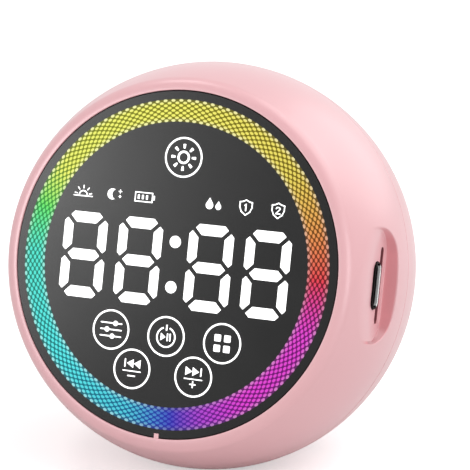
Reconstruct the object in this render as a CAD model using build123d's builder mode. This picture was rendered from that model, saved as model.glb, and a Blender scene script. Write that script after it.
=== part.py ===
from build123d import *

import os
from math import cos, hypot, pi, radians, sin, sqrt, tan

os.makedirs("parts", exist_ok=True)

# Driving dimensions, in millimetres and degrees.

# Digits and colon, as they show on the panel
DIGIT_WIDTH = 9.36
DIGIT_HEIGHT = 16.5
DIGIT_SPACING = 11.56
PAIR_SPACING = 14.56
SEGMENT_THICKNESS = 2.17
SEGMENT_TIP = 0.78
SEGMENT_GAP = 0.6
SEGMENT_CLEARANCE = 0.05
SEGMENT_DEPTH = 3.6
COLON_SPACING = 8.6
COLON_RADIUS = 1.22

# Row of status signs above the digits
LEGEND_RISE = 3.85
LEGEND_FIRST = 7.1
LEGEND_SPACING = 6.5
LEGEND_WIDTH = 4.4
LEGEND_HEIGHT = 2.3
LEGEND_MARGIN = 0.4

# Touch keys
KEY_RADIUS = 3.87
KEY_CLEARANCE = 0.43
KEY_SPACING_UPPER = 11.5
KEY_SPACING_LOWER = 6.36
KEY_ROW_STEP = 6.94
TOP_KEY_GAP = 2.81
SLEEVE_WALL = 1.4
KEY_LED_SIZE = 2.0
KEY_LED_HEIGHT = 0.8

# Display stack between the panel and the LED board
HOUSING_MARGIN = 1.1
HOUSING_CLEARANCE = 0.07
DISPLAY_DEPTH = 5.0
DISPLAY_CLEARANCE = 0.2
WELL_WALL = 0.6
WELL_STEP = 0.5
WELL_FLOOR = 0.8
RING_WIDTH = 4.25
RING_THICKNESS = 2.0
RING_CLEARANCE = 0.05
RING_LED_COUNT = 24
RING_LED_SIZE = 2.6
RING_LED_HEIGHT = 1.4
RING_LED_GAP = 0.2

# Front panel and its seat
PANEL_BORDER = 1.75
PANEL_THICKNESS = 2.0
PANEL_EDGE = 0.2
PANEL_RECESS = 0.15
PANEL_GAP = 0.15
TAPE_THICKNESS = 0.3
TAPE_INSET = 0.1
LEDGE_GAP = 0.12
LEDGE_THICKNESS = 1.4
TAB_WIDTH = 0.95
TAB_HEIGHT = 1.05
TAB_GAP = 0.06

# Ball
LAND_WIDTH = 1.69
FACE_DISTANCE = 19.65
FACE_EDGE_RADIUS = 1.6
WALL = 2.2
SEAM_SET_BACK = 1.0
SEAM_EDGE = 0.25
LIP_THICKNESS = 1.0
LIP_HEIGHT = 2.2
LIP_CLEARANCE = 0.1
LEAN = 15

# Foot
FLAT_RADIUS = 13.4
FLOOR_WALL = 1.8
FOOT_RADIUS = 10.5
FOOT_THICKNESS = 1.6
FOOT_PROUD = 0.6
FOOT_CLEARANCE = 0.1
FOOT_SET_BACK = 2.2
FOOT_EDGE = 0.3

# Side pocket with its two sockets
POCKET_LENGTH = 21.6
POCKET_WIDTH = 10.1
POCKET_DEPTH = 3.0
POCKET_WALL = 1.8
USB_WIDTH = 8.94
USB_HEIGHT = 3.2
USB_WALL = 0.3
USB_LENGTH = 7.4
USB_RISE = 0.85
USB_PROUD = 0.35
USB_LIP_ROUND = 0.12
USB_GAP = 0.15
USB_BACK = 2.2
TONGUE_WIDTH = 6.7
TONGUE_THICKNESS = 0.7
TONGUE_RECESS = 0.8
CARD_WIDTH = 11.0
CARD_THICKNESS = 0.7
CARD_GAP = 0.15
CARD_DEPTH = 12.5
CARD_SOCKET_WIDTH = 14.3
CARD_SOCKET_LENGTH = 14.0
CARD_SOCKET_HEIGHT = 1.5
CARD_SLIT_LENGTH = 14.6
CARD_SLIT_HEIGHT = 1.7
CARD_SLIT_SHIFT = 0.3
SOCKET_GAP = 0.2

# LED board, main board and what is soldered to them
BOARD_THICKNESS = 1.0
BOARD_SPACING = 2.8
BOARD_CLEARANCE = 0.4
HEADER_LENGTH = 14.0
HEADER_WIDTH = 2.5
HEADER_Y = -24.0
CHIP_HEIGHT = 1.2
CHIP_GAP = 3.0
CONTROLLER_SIZE = 7.0
CONTROLLER_Y = 5.0
AMPLIFIER_WIDTH = 5.0
AMPLIFIER_HEIGHT = 4.0
AMPLIFIER_Y = -6.0
MEMORY_WIDTH = 6.0
MEMORY_HEIGHT = 5.0
MEMORY_Y = 14.0
PLUG_WIDTH = 6.0
PLUG_DEPTH = 4.5
PLUG_HEIGHT = 3.6
PLUG_SPACING = 9.0
PLUG_Y = 27.5

# Screws
POST_GAP = 0.15
BOARD_POST_RADIUS = 2.0
BOARD_SCREW_RADIUS = 0.8
BOARD_SCREW_LENGTH = 5.0
BOARD_HEAD_RADIUS = 1.5
BOARD_HEAD_HEIGHT = 1.1
BOARD_HOLE_GAP = 0.25
CASE_POST_RADIUS = 3.2
POST_CLEARANCE = 0.3
CASE_SCREW_RADIUS = 1.0
CASE_SCREW_LENGTH = 10.0
CASE_HEAD_RADIUS = 2.1
CASE_HEAD_HEIGHT = 1.6
CASE_HEAD_GAP = 0.2
CASE_HOLE_GAP = 0.3
CASE_SEAT = 3.0
TUNNEL_WALL = 1.1
SCREW_FIT = 0.05
DRIVE_RIM = 0.6
DRIVE_WIDTH = 0.6
DRIVE_DEPTH = 0.7
PILOT_EXTRA = 1.0
SEAM_GAP = 0.1

# Battery
BATTERY_WIDTH = 34.0
BATTERY_LENGTH = 42.0
BATTERY_THICKNESS = 7.0
BATTERY_CORNER = 2.5
BATTERY_EDGE = 1.5
BATTERY_X = -3.0
BATTERY_Y = -4.0
BATTERY_TAPE_THICKNESS = 0.8
BATTERY_TAPE_MARGIN = 4.0
LEAD_RADIUS = 0.7
LEAD_SWAY = 2.0
LEAD_RUN = 7.3
BEND_SHARE = 0.45

# Loudspeaker
SPEAKER_RADIUS = 20.4
SPEAKER_RIM = 1.8
FLANGE_THICKNESS = 1.2
FLANGE_WIDTH = 3.4
EAR_RADIUS = 2.4
EAR_OFFSET = 2.6
EAR_CLEARANCE = 1.0
GASKET_THICKNESS = 0.8
BASKET_DEPTH = 10.0
BASKET_WALL = 1.0
BASKET_WINDOW_WIDTH = 8.0
BASKET_HOOP = 2.0
COIL_RADIUS = 5.9
COIL_WALL = 0.4
COIL_GAP = 0.3
COIL_BELOW = 3.5
NECK_RISE = 4.0
SPIDER_RISE = 1.4
SPIDER_THICKNESS = 0.4
PLATE_RADIUS = 12.0
PLATE_THICKNESS = 2.0
MAGNET_RADIUS = 13.0
MAGNET_THICKNESS = 5.0
MAGNET_BORE_GAP = 2.0
CONE_WALL = 0.5
CONE_EDGE = 1.0
CONE_GAP = 0.05
ROLL_RADIUS = 1.2
SURROUND_THICKNESS = 0.4
SURROUND_RIM = 1.3
CAP_RADIUS = 7.4
CAP_HEIGHT = 2.0
CAP_THICKNESS = 0.4
TERMINAL_WIDTH = 9.0
TERMINAL_DEPTH = 2.4
TERMINAL_HEIGHT = 3.0

# Rear grille
GRILLE_MARGIN = 1.6
GRILLE_THICKNESS = 1.2
GRILLE_LEDGE = 1.5
GRILLE_GAP = 0.15
GRILLE_HOLE_RADIUS = 0.9
GRILLE_EDGE = 2.5
GRILLE_RINGS = 4
GRILLE_RING_HOLES = 6

# Screw directions round the display axis, counted from the pocket's side
LED_BOARD_SCREW_ANGLES = (30, 150, 210, 330)
MAIN_BOARD_SCREW_ANGLES = (90, 180, 270)
CASE_SCREW_ANGLES = (60, 120, 240, 300)
SPEAKER_SCREW_ANGLES = (45, 135, 225, 315)

# Display layout. Heights are counted from the display's middle.

inner_digit = PAIR_SPACING / 2
outer_digit = inner_digit + DIGIT_SPACING
digit_centres = (-outer_digit, -inner_digit, inner_digit, outer_digit)
digit_half = DIGIT_HEIGHT / 2
housing_half_width = outer_digit + DIGIT_WIDTH / 2 + HOUSING_MARGIN
housing_low = digit_half + HOUSING_MARGIN
legend_height = digit_half + LEGEND_RISE
legend_steps = [LEGEND_FIRST + LEGEND_SPACING * step for step in range(3)]
legend_places = [(side * step, legend_height) for step in legend_steps for side in (-1, 1)]
legend_far = legend_steps[-1] + LEGEND_WIDTH / 2
legend_top = legend_height + LEGEND_HEIGHT / 2
housing_high = legend_top + LEGEND_MARGIN

upper_row = -(housing_low + KEY_CLEARANCE + KEY_RADIUS)
lower_row = upper_row - KEY_ROW_STEP
top_key = housing_high + TOP_KEY_GAP + KEY_RADIUS
key_places = [
    (0, top_key),
    (-KEY_SPACING_UPPER, upper_row),
    (0, upper_row),
    (KEY_SPACING_UPPER, upper_row),
    (-KEY_SPACING_LOWER, lower_row),
    (KEY_SPACING_LOWER, lower_row),
]

# The light ring goes round everything that the display shows, the panel round the ring, and the ball
# round the panel.

display_radius = max(
    hypot(housing_half_width, housing_low),
    hypot(legend_far, legend_top) + LEGEND_MARGIN,
    hypot(KEY_SPACING_LOWER, lower_row) + KEY_RADIUS,
    top_key + KEY_RADIUS,
)
well_inner = display_radius + HOUSING_CLEARANCE
ring_inner = well_inner + WELL_WALL
ring_outer = ring_inner + RING_WIDTH
ring_middle = (ring_inner + ring_outer) / 2
well_outer = ring_outer + WELL_WALL
panel_radius = ring_outer + PANEL_BORDER
recess_radius = panel_radius + PANEL_GAP
face_radius = recess_radius + LAND_WIDTH
ball_radius = hypot(face_radius, FACE_DISTANCE)
inner_radius = ball_radius - WALL
mid_wall = ball_radius - WALL / 2


def inside_at(distance):
    """Radius of the cavity at a distance from the ball's centre along the display axis."""
    return sqrt(inner_radius**2 - distance**2)


# Distances from the ball's centre along the display axis, forwards positive

panel_front = FACE_DISTANCE - PANEL_RECESS
panel_back = panel_front - PANEL_THICKNESS
ledge_front = panel_back - TAPE_THICKNESS
ledge_back = ledge_front - LEDGE_THICKNESS
ledge_inner = well_outer + LEDGE_GAP
display_front = panel_back - DISPLAY_CLEARANCE
led_board_front = panel_back - DISPLAY_DEPTH
led_board_back = led_board_front - BOARD_THICKNESS
board_front = led_board_back - BOARD_SPACING
board_back = board_front - BOARD_THICKNESS
usb_forward = board_front + USB_RISE
card_forward = board_back - CARD_SOCKET_HEIGHT / 2
seam = -SEAM_SET_BACK
battery_front = board_back - BATTERY_TAPE_THICKNESS

pocket_floor = ball_radius - POCKET_DEPTH
pocket_inside = pocket_floor - POCKET_WALL
socket_mouth = pocket_inside - SOCKET_GAP

post_limit = well_outer + POST_GAP
board_post_reach = post_limit + BOARD_POST_RADIUS
case_post_reach = post_limit + CASE_POST_RADIUS
pilot_radius = BOARD_SCREW_RADIUS + SCREW_FIT
pilot_depth = BOARD_SCREW_LENGTH + PILOT_EXTRA - BOARD_THICKNESS

# The speaker faces the rear. Its ears set how deep it goes into the ball.

ear_reach = SPEAKER_RADIUS + EAR_OFFSET
speaker_seat = -sqrt(inner_radius**2 - (ear_reach + EAR_RADIUS + EAR_CLEARANCE) ** 2)
chimney_inner = SPEAKER_RADIUS - SPEAKER_RIM
flange_rear = speaker_seat + GASKET_THICKNESS
flange_front = flange_rear + FLANGE_THICKNESS
flange_inner = SPEAKER_RADIUS - FLANGE_WIDTH
basket_front = flange_front + BASKET_DEPTH
plate_front = basket_front + PLATE_THICKNESS
magnet_front = plate_front + MAGNET_THICKNESS
yoke_front = magnet_front + PLATE_THICKNESS
coil_inner = COIL_RADIUS - COIL_WALL
pole_radius = coil_inner - COIL_GAP
plate_bore = COIL_RADIUS + COIL_GAP
basket_bore = plate_bore + COIL_GAP
neck = basket_front - NECK_RISE
spider_front = basket_front - SPIDER_RISE
roll_centre = flange_inner - ROLL_RADIUS
cone_edge = roll_centre - ROLL_RADIUS
terminal_reach = SPEAKER_RADIUS - FLANGE_WIDTH / 2

grille_radius = chimney_inner - GRILLE_MARGIN
grille_inside = ball_radius - GRILLE_THICKNESS
grille_step = (grille_radius - GRILLE_EDGE - GRILLE_HOLE_RADIUS) / GRILLE_RINGS

# Placing. The pad's underside is on the ground, with its middle at the origin. The display faces -Y and
# leans back.

centre_height = FOOT_PROUD + sqrt(ball_radius**2 - FLAT_RADIUS**2)
centre = Vector(0, -FOOT_SET_BACK, centre_height)
forward = Vector(0, -cos(radians(LEAN)), sin(radians(LEAN)))
face = Plane(origin=centre, x_dir=(1, 0, 0), z_dir=forward)
section = Plane(origin=centre, x_dir=(1, 0, 0), z_dir=-face.y_dir)
pocket_side = Plane(origin=centre, x_dir=face.y_dir, z_dir=(1, 0, 0))
flat = Plane(origin=(0, -FOOT_SET_BACK, FOOT_PROUD))
display_axis = Axis(centre, forward)


def save(piece, name):
    """Label a finished piece and write its file."""
    piece.part.label = name
    export_step(piece.part, f"parts/{name}.step")


def round_places(reach, angles):
    """Points at the given angles on a circle round the display axis."""
    return [(reach * cos(radians(angle)), reach * sin(radians(angle))) for angle in angles]


def band(inner, outer, low, high):
    """Add a rectangle to a profile, from its two radii and its two distances along the axis."""
    with Locations((inner, low)):
        Rectangle(outer - inner, high - low, align=(Align.MIN, Align.MIN))


def keep_inside_ball(radius):
    """Trim the current part to a ball round the centre."""
    with Locations(centre):
        Sphere(radius, mode=Mode.INTERSECT)


# Posts inside the front half, from the panel's ledge back to the LED board, the main board and the seam

led_board_posts = round_places(board_post_reach, LED_BOARD_SCREW_ANGLES)
main_board_posts = round_places(board_post_reach, MAIN_BOARD_SCREW_ANGLES)
case_posts = round_places(case_post_reach, CASE_SCREW_ANGLES)
ledge_middle = ledge_front - LEDGE_THICKNESS / 2
with BuildPart() as front_posts:
    with BuildSketch(face.offset(led_board_front)):
        with Locations(*led_board_posts):
            Circle(BOARD_POST_RADIUS)
    extrude(amount=ledge_middle - led_board_front)
    with BuildSketch(face.offset(board_front)):
        with Locations(*main_board_posts):
            Circle(BOARD_POST_RADIUS)
    extrude(amount=ledge_middle - board_front)
    with BuildSketch(face.offset(seam)):
        with Locations(*case_posts):
            Circle(CASE_POST_RADIUS)
    extrude(amount=ledge_middle - seam)
    keep_inside_ball(mid_wall)

# Wall round the side pocket, inside the ball

with BuildPart() as pocket_boss:
    with BuildSketch(pocket_side.offset(pocket_inside)):
        with Locations((0, usb_forward)):
            SlotOverall(POCKET_LENGTH + 2 * POCKET_WALL, POCKET_WIDTH + 2 * POCKET_WALL)
    extrude(amount=ball_radius - pocket_inside)
    keep_inside_ball(mid_wall)

# Room in the front half for the rear half's lip, which stops at the flat under the ball

with BuildPart() as lip_room:
    with BuildSketch(section):
        band(0, inner_radius + LIP_THICKNESS + LIP_CLEARANCE, seam, seam + LIP_HEIGHT + LIP_CLEARANCE)
    revolve(axis=display_axis)
    with BuildSketch(section):
        band(0, inside_at(seam + LIP_HEIGHT), seam, seam + LIP_HEIGHT + LIP_CLEARANCE)
    revolve(axis=display_axis, mode=Mode.SUBTRACT)
    with BuildSketch(flat):
        Circle(FLAT_RADIUS)
    extrude(amount=FLOOR_WALL + FOOT_THICKNESS - FOOT_PROUD, mode=Mode.SUBTRACT)

# Front half of the ball: the land round the panel, its ledge and locating tab, the posts and the pocket,
# whose floor runs out through the ball towards the front

with BuildPart() as front_shell:
    with BuildSketch(section) as front_profile:
        Circle(ball_radius)
        Circle(inner_radius, mode=Mode.SUBTRACT)
        with Locations((0, seam)):
            Rectangle(
                ball_radius,
                FACE_DISTANCE - seam,
                align=(Align.MIN, Align.MIN),
                mode=Mode.INTERSECT,
            )
        band(ledge_inner, sqrt(mid_wall**2 - ledge_front**2), ledge_back, ledge_front)
        with Locations((0, ledge_front)):
            Rectangle(
                recess_radius,
                FACE_DISTANCE - ledge_front,
                align=(Align.MIN, Align.MIN),
                mode=Mode.SUBTRACT,
            )
        fillet(front_profile.vertices().group_by(Axis.Y)[-1].sort_by(Axis.X)[-1], FACE_EDGE_RADIUS)
        fillet(front_profile.vertices().group_by(Axis.Y)[0].sort_by(Axis.X)[-1], SEAM_EDGE)
    revolve(axis=display_axis)
    with BuildSketch(face.offset(ledge_front)):
        with Locations((0, -recess_radius)):
            Rectangle(TAB_WIDTH, 2 * TAB_HEIGHT)
    extrude(amount=panel_front - ledge_front)
    add(front_posts.part)
    add(pocket_boss.part)
    with BuildSketch(flat):
        Circle(FLAT_RADIUS)
    extrude(amount=FLOOR_WALL + FOOT_THICKNESS - FOOT_PROUD)
    split(bisect_by=face.offset(seam), keep=Keep.TOP)
    add(lip_room.part, mode=Mode.SUBTRACT)
    with BuildSketch(flat):
        Circle(ball_radius)
    extrude(amount=-ball_radius, mode=Mode.SUBTRACT)
    with BuildSketch(pocket_side.offset(pocket_floor)):
        with Locations((0, usb_forward)):
            SlotOverall(POCKET_LENGTH, POCKET_WIDTH)
            Rectangle(POCKET_LENGTH, POCKET_WIDTH, align=(Align.CENTER, Align.MIN))
    extrude(amount=ball_radius, mode=Mode.SUBTRACT)
    with BuildSketch(pocket_side.offset(pocket_floor)):
        with Locations((0, usb_forward)):
            SlotOverall(USB_WIDTH + 2 * USB_GAP, USB_HEIGHT + 2 * USB_GAP)
        with Locations((0, card_forward + CARD_SLIT_SHIFT)):
            SlotOverall(CARD_SLIT_LENGTH, CARD_SLIT_HEIGHT)
    extrude(amount=socket_mouth - pocket_floor, mode=Mode.SUBTRACT)
    with BuildSketch(face.offset(led_board_front)):
        with Locations(*led_board_posts):
            Circle(pilot_radius)
    extrude(amount=pilot_depth, mode=Mode.SUBTRACT)
    with BuildSketch(face.offset(board_front)):
        with Locations(*main_board_posts):
            Circle(pilot_radius)
    extrude(amount=pilot_depth, mode=Mode.SUBTRACT)
    with BuildSketch(face.offset(seam)):
        with Locations(*case_posts):
            Circle(CASE_SCREW_RADIUS + SCREW_FIT)
    extrude(amount=CASE_SCREW_LENGTH + PILOT_EXTRA - CASE_SEAT, mode=Mode.SUBTRACT)
save(front_shell, "front_shell")

# Inside of the rear half: the speaker's chimney and posts, and the tunnels of the case screws

with BuildPart() as rear_posts:
    with BuildSketch(face.offset(speaker_seat)):
        Circle(SPEAKER_RADIUS)
        Circle(chimney_inner, mode=Mode.SUBTRACT)
    extrude(amount=-ball_radius)
    with BuildSketch(face.offset(flange_rear)):
        with Locations(*round_places(ear_reach, SPEAKER_SCREW_ANGLES)):
            Circle(EAR_RADIUS)
    extrude(amount=-ball_radius)
    with BuildSketch(face.offset(seam - SEAM_GAP)):
        with Locations(*case_posts):
            Circle(CASE_HEAD_RADIUS + CASE_HEAD_GAP + TUNNEL_WALL)
    extrude(amount=-ball_radius)
    keep_inside_ball(mid_wall)

# Lip that centres the two halves, left off at the flat

with BuildPart() as lip:
    with BuildSketch(section):
        band(inner_radius, inner_radius + LIP_THICKNESS, seam - LIP_HEIGHT, seam + LIP_HEIGHT)
    revolve(axis=display_axis)
    with BuildSketch(flat):
        Circle(FLAT_RADIUS + LIP_CLEARANCE)
    extrude(amount=FLOOR_WALL + FOOT_THICKNESS - FOOT_PROUD + LIP_CLEARANCE, mode=Mode.SUBTRACT)

# Rear half of the ball: the seats of the grille and the speaker, the screw tunnels and the pad's recess

with BuildPart() as rear_shell:
    with BuildSketch(section) as rear_profile:
        Circle(ball_radius)
        Circle(inner_radius, mode=Mode.SUBTRACT)
        with Locations((grille_radius - GRILLE_LEDGE, seam)):
            Rectangle(
                ball_radius,
                ball_radius,
                align=(Align.MIN, Align.MAX),
                mode=Mode.INTERSECT,
            )
        fillet(rear_profile.vertices().group_by(Axis.Y)[-1].sort_by(Axis.X)[-1], SEAM_EDGE)
    revolve(axis=display_axis)
    with BuildSketch(section):
        Circle(ball_radius + WALL)
        Circle(grille_inside, mode=Mode.SUBTRACT)
        with Locations((0, seam)):
            Rectangle(
                grille_radius + GRILLE_GAP,
                2 * ball_radius,
                align=(Align.MIN, Align.MAX),
                mode=Mode.INTERSECT,
            )
    revolve(axis=display_axis, mode=Mode.SUBTRACT)
    add(rear_posts.part)
    with BuildSketch(flat):
        Circle(FLAT_RADIUS)
    extrude(amount=FLOOR_WALL + FOOT_THICKNESS - FOOT_PROUD)
    split(bisect_by=face.offset(seam), keep=Keep.BOTTOM)
    add(lip.part)
    with BuildSketch(flat):
        Circle(ball_radius)
    extrude(amount=-ball_radius, mode=Mode.SUBTRACT)
    with BuildSketch(Plane.XY):
        Circle(FOOT_RADIUS + FOOT_CLEARANCE)
    extrude(amount=FOOT_THICKNESS, mode=Mode.SUBTRACT)
    with BuildSketch(face.offset(seam - CASE_SEAT)):
        with Locations(*case_posts):
            Circle(CASE_HEAD_RADIUS + CASE_HEAD_GAP)
    extrude(amount=-ball_radius, mode=Mode.SUBTRACT)
    with BuildSketch(face.offset(seam)):
        with Locations(*case_posts):
            Circle(CASE_SCREW_RADIUS + CASE_HOLE_GAP)
    extrude(amount=-CASE_SEAT, mode=Mode.SUBTRACT)
    with BuildSketch(face.offset(flange_rear)):
        with Locations(*round_places(ear_reach, SPEAKER_SCREW_ANGLES)):
            Circle(pilot_radius)
    extrude(amount=FLANGE_THICKNESS - BOARD_SCREW_LENGTH - PILOT_EXTRA, mode=Mode.SUBTRACT)
save(rear_shell, "rear_shell")

# Pad: a silicone disc pressed into the flat

with BuildPart() as foot_pad:
    with BuildSketch(Plane.XY):
        Circle(FOOT_RADIUS)
    extrude(amount=FOOT_THICKNESS)
    chamfer(foot_pad.faces().sort_by(Axis.Z)[0].edges(), FOOT_EDGE)
save(foot_pad, "foot_pad")

# Front panel: a disc with a softened front edge and a notch for the tab

with BuildPart() as front_panel:
    with BuildSketch(face.offset(panel_back)):
        Circle(panel_radius)
    extrude(amount=PANEL_THICKNESS)
    chamfer(front_panel.faces().sort_by(display_axis)[-1].edges(), PANEL_EDGE)
    with BuildSketch(face.offset(panel_back)):
        with Locations((0, -recess_radius)):
            Rectangle(TAB_WIDTH + 2 * TAB_GAP, 2 * (TAB_HEIGHT + TAB_GAP))
    extrude(amount=PANEL_THICKNESS, mode=Mode.SUBTRACT)
save(front_panel, "front_panel")

# Adhesive ring between the ledge and the panel, open at the tab

with BuildPart() as panel_tape:
    with BuildSketch(face.offset(ledge_front)):
        Circle(panel_radius - TAPE_INSET)
        Circle(ledge_inner + TAPE_INSET, mode=Mode.SUBTRACT)
        with Locations((0, -recess_radius)):
            Rectangle(TAB_WIDTH + 2 * TAB_GAP, 2 * recess_radius - 2 * ledge_inner, mode=Mode.SUBTRACT)
    extrude(amount=TAPE_THICKNESS)
save(panel_tape, "panel_tape")

# Light ring: the milky ring that shows the rainbow

ring_back = display_front - RING_THICKNESS
with BuildPart() as light_ring:
    with BuildSketch(face.offset(ring_back)):
        Circle(ring_outer - RING_CLEARANCE)
        Circle(ring_inner + RING_CLEARANCE, mode=Mode.SUBTRACT)
    extrude(amount=RING_THICKNESS)
save(light_ring, "light_ring")

# White trough that carries the light ring on two steps, with a window for each LED

with BuildPart() as light_well:
    with BuildSketch(section):
        band(well_inner, well_outer, led_board_front, led_board_front + WELL_FLOOR)
        band(well_inner, ring_inner, led_board_front, display_front)
        band(ring_inner, ring_inner + WELL_STEP, led_board_front, ring_back)
        band(ring_outer - WELL_STEP, ring_outer, led_board_front, ring_back)
        band(ring_outer, well_outer, led_board_front, display_front)
    revolve(axis=display_axis)
    with BuildSketch(face.offset(led_board_front)):
        with PolarLocations(ring_middle, RING_LED_COUNT):
            Rectangle(RING_LED_SIZE + RING_LED_GAP, RING_LED_SIZE + RING_LED_GAP)
    extrude(amount=WELL_FLOOR, mode=Mode.SUBTRACT)
save(light_well, "light_well")

with BuildPart() as ring_leds:
    with BuildSketch(face.offset(led_board_front)):
        with PolarLocations(ring_middle, RING_LED_COUNT):
            Rectangle(RING_LED_SIZE, RING_LED_SIZE)
    extrude(amount=RING_LED_HEIGHT)
save(ring_leds, "ring_leds")


# Digits. A segment has pointed ends, with the points nearer its outer edge.

tip_across = DIGIT_WIDTH / 2 - SEGMENT_TIP
tip_up = digit_half - SEGMENT_TIP
tip_step = SEGMENT_GAP / sqrt(2)
lying_length = 2 * (tip_across - tip_step)
upright_length = tip_up - 2 * tip_step
inner_tip = SEGMENT_THICKNESS - SEGMENT_TIP
half_tip = SEGMENT_THICKNESS / 2
digit_segments_plan = [
    (0, tip_up, 0, lying_length, SEGMENT_TIP, inner_tip),
    (0, 0, 0, lying_length, half_tip, half_tip),
    (0, -tip_up, 180, lying_length, SEGMENT_TIP, inner_tip),
    (-tip_across, tip_up / 2, 90, upright_length, SEGMENT_TIP, inner_tip),
    (-tip_across, -tip_up / 2, 90, upright_length, SEGMENT_TIP, inner_tip),
    (tip_across, tip_up / 2, -90, upright_length, SEGMENT_TIP, inner_tip),
    (tip_across, -tip_up / 2, -90, upright_length, SEGMENT_TIP, inner_tip),
]


def draw_segments():
    """Draw all the digits' segments and the colon dots."""
    for digit in digit_centres:
        for x, y, turn, length, outer, inner in digit_segments_plan:
            half = length / 2
            with Locations(Location((digit + x, y, 0), (0, 0, turn))):
                Polygon(
                    (-half, 0),
                    (outer - half, outer),
                    (half - outer, outer),
                    (half, 0),
                    (half - inner, -inner),
                    (inner - half, -inner),
                    align=None,
                )
    with Locations((0, COLON_SPACING / 2), (0, -COLON_SPACING / 2)):
        Circle(COLON_RADIUS)


def draw_legends():
    """Draw the windows of the status signs."""
    with Locations(*legend_places):
        Rectangle(LEGEND_WIDTH, LEGEND_HEIGHT)


with BuildPart() as digit_segments:
    with BuildSketch(face.offset(display_front)):
        draw_segments()
    extrude(amount=-SEGMENT_DEPTH)
save(digit_segments, "digit_segments")

with BuildPart() as legend_lights:
    with BuildSketch(face.offset(display_front)):
        draw_legends()
    extrude(amount=-SEGMENT_DEPTH)
save(legend_lights, "legend_lights")

# Black block with a well for each segment and sign, open towards the LED board for the light

with BuildPart() as digit_housing:
    with BuildSketch(face.offset(led_board_front)):
        with Locations((0, -housing_low)):
            Rectangle(2 * housing_half_width, housing_low + housing_high, align=(Align.CENTER, Align.MIN))
        Circle(display_radius, mode=Mode.INTERSECT)
    extrude(amount=display_front - led_board_front)
    with BuildSketch(face.offset(led_board_front)):
        draw_segments()
        draw_legends()
        offset(amount=SEGMENT_CLEARANCE, kind=Kind.INTERSECTION)
    extrude(amount=display_front - led_board_front, mode=Mode.SUBTRACT)
save(digit_housing, "digit_housing")

# Touch keys: a foam sleeve from the LED board to the panel, with an LED inside it

with BuildPart() as touch_sleeves:
    with BuildSketch(face.offset(led_board_front)):
        with Locations(*key_places):
            Circle(KEY_RADIUS)
            Circle(KEY_RADIUS - SLEEVE_WALL, mode=Mode.SUBTRACT)
    extrude(amount=DISPLAY_DEPTH)
save(touch_sleeves, "touch_sleeves")

with BuildPart() as key_leds:
    with BuildSketch(face.offset(led_board_front)):
        with Locations(*key_places):
            Rectangle(KEY_LED_SIZE, KEY_LED_SIZE)
    extrude(amount=KEY_LED_HEIGHT)
save(key_leds, "key_leds")

# LED board and main board: discs with a flat at the pocket and scallops for the posts that pass them

usb_back = pocket_floor + USB_PROUD - USB_LENGTH
with BuildPart() as led_board:
    with BuildSketch(face.offset(led_board_back)):
        Circle(inside_at(led_board_front) - BOARD_CLEARANCE)
        with Locations((socket_mouth, 0)):
            Rectangle(ball_radius, 2 * ball_radius, align=(Align.MIN, Align.CENTER), mode=Mode.SUBTRACT)
        with Locations(*case_posts):
            Circle(CASE_POST_RADIUS + POST_CLEARANCE, mode=Mode.SUBTRACT)
        with Locations(*main_board_posts):
            Circle(BOARD_POST_RADIUS + POST_CLEARANCE, mode=Mode.SUBTRACT)
        with Locations(*led_board_posts):
            Circle(BOARD_SCREW_RADIUS + BOARD_HOLE_GAP, mode=Mode.SUBTRACT)
    extrude(amount=BOARD_THICKNESS)
save(led_board, "led_board")

# The main board also has a cut-out in which the charging socket sits

with BuildPart() as main_board:
    with BuildSketch(face.offset(board_back)):
        Circle(inside_at(board_front) - BOARD_CLEARANCE)
        with Locations((socket_mouth, 0)):
            Rectangle(ball_radius, 2 * ball_radius, align=(Align.MIN, Align.CENTER), mode=Mode.SUBTRACT)
        with Locations((usb_back - USB_GAP, 0)):
            Rectangle(
                ball_radius,
                USB_WIDTH + 2 * USB_GAP,
                align=(Align.MIN, Align.CENTER),
                mode=Mode.SUBTRACT,
            )
        with Locations(*case_posts):
            Circle(CASE_POST_RADIUS + POST_CLEARANCE, mode=Mode.SUBTRACT)
        with Locations(*main_board_posts):
            Circle(BOARD_SCREW_RADIUS + BOARD_HOLE_GAP, mode=Mode.SUBTRACT)
    extrude(amount=BOARD_THICKNESS)
save(main_board, "main_board")

# Pin header that joins the two boards

with BuildPart() as board_header:
    with BuildSketch(face.offset(board_front)):
        with Locations((0, HEADER_Y)):
            Rectangle(HEADER_LENGTH, HEADER_WIDTH)
    extrude(amount=BOARD_SPACING)
save(board_header, "board_header")

# Chips on the back of the main board: controller, amplifier and memory, each as middle and two sides

battery_left = BATTERY_X - BATTERY_WIDTH / 2
battery_right = BATTERY_X + BATTERY_WIDTH / 2
battery_top = BATTERY_Y + BATTERY_LENGTH / 2
chips = (
    (battery_left - CHIP_GAP - CONTROLLER_SIZE / 2, CONTROLLER_Y, CONTROLLER_SIZE, CONTROLLER_SIZE),
    (battery_left - CHIP_GAP - AMPLIFIER_WIDTH / 2, AMPLIFIER_Y, AMPLIFIER_WIDTH, AMPLIFIER_HEIGHT),
    (battery_right + CHIP_GAP + MEMORY_WIDTH / 2, MEMORY_Y, MEMORY_WIDTH, MEMORY_HEIGHT),
)
with BuildPart() as board_chips:
    with BuildSketch(face.offset(board_back)):
        for x, y, width, height in chips:
            with Locations((x, y)):
                Rectangle(width, height)
    extrude(amount=-CHIP_HEIGHT)
save(board_chips, "board_chips")

# Lead sockets on the back of the main board, for the battery and the speaker

plug_places = [(-PLUG_SPACING, PLUG_Y), (PLUG_SPACING, PLUG_Y)]
with BuildPart() as board_connectors:
    with BuildSketch(face.offset(board_back)):
        with Locations(*plug_places):
            Rectangle(PLUG_WIDTH, PLUG_DEPTH)
    extrude(amount=-PLUG_HEIGHT)
save(board_connectors, "board_connectors")

# Charging socket: a rounded steel sleeve with a moulded block and tongue in it

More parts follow.
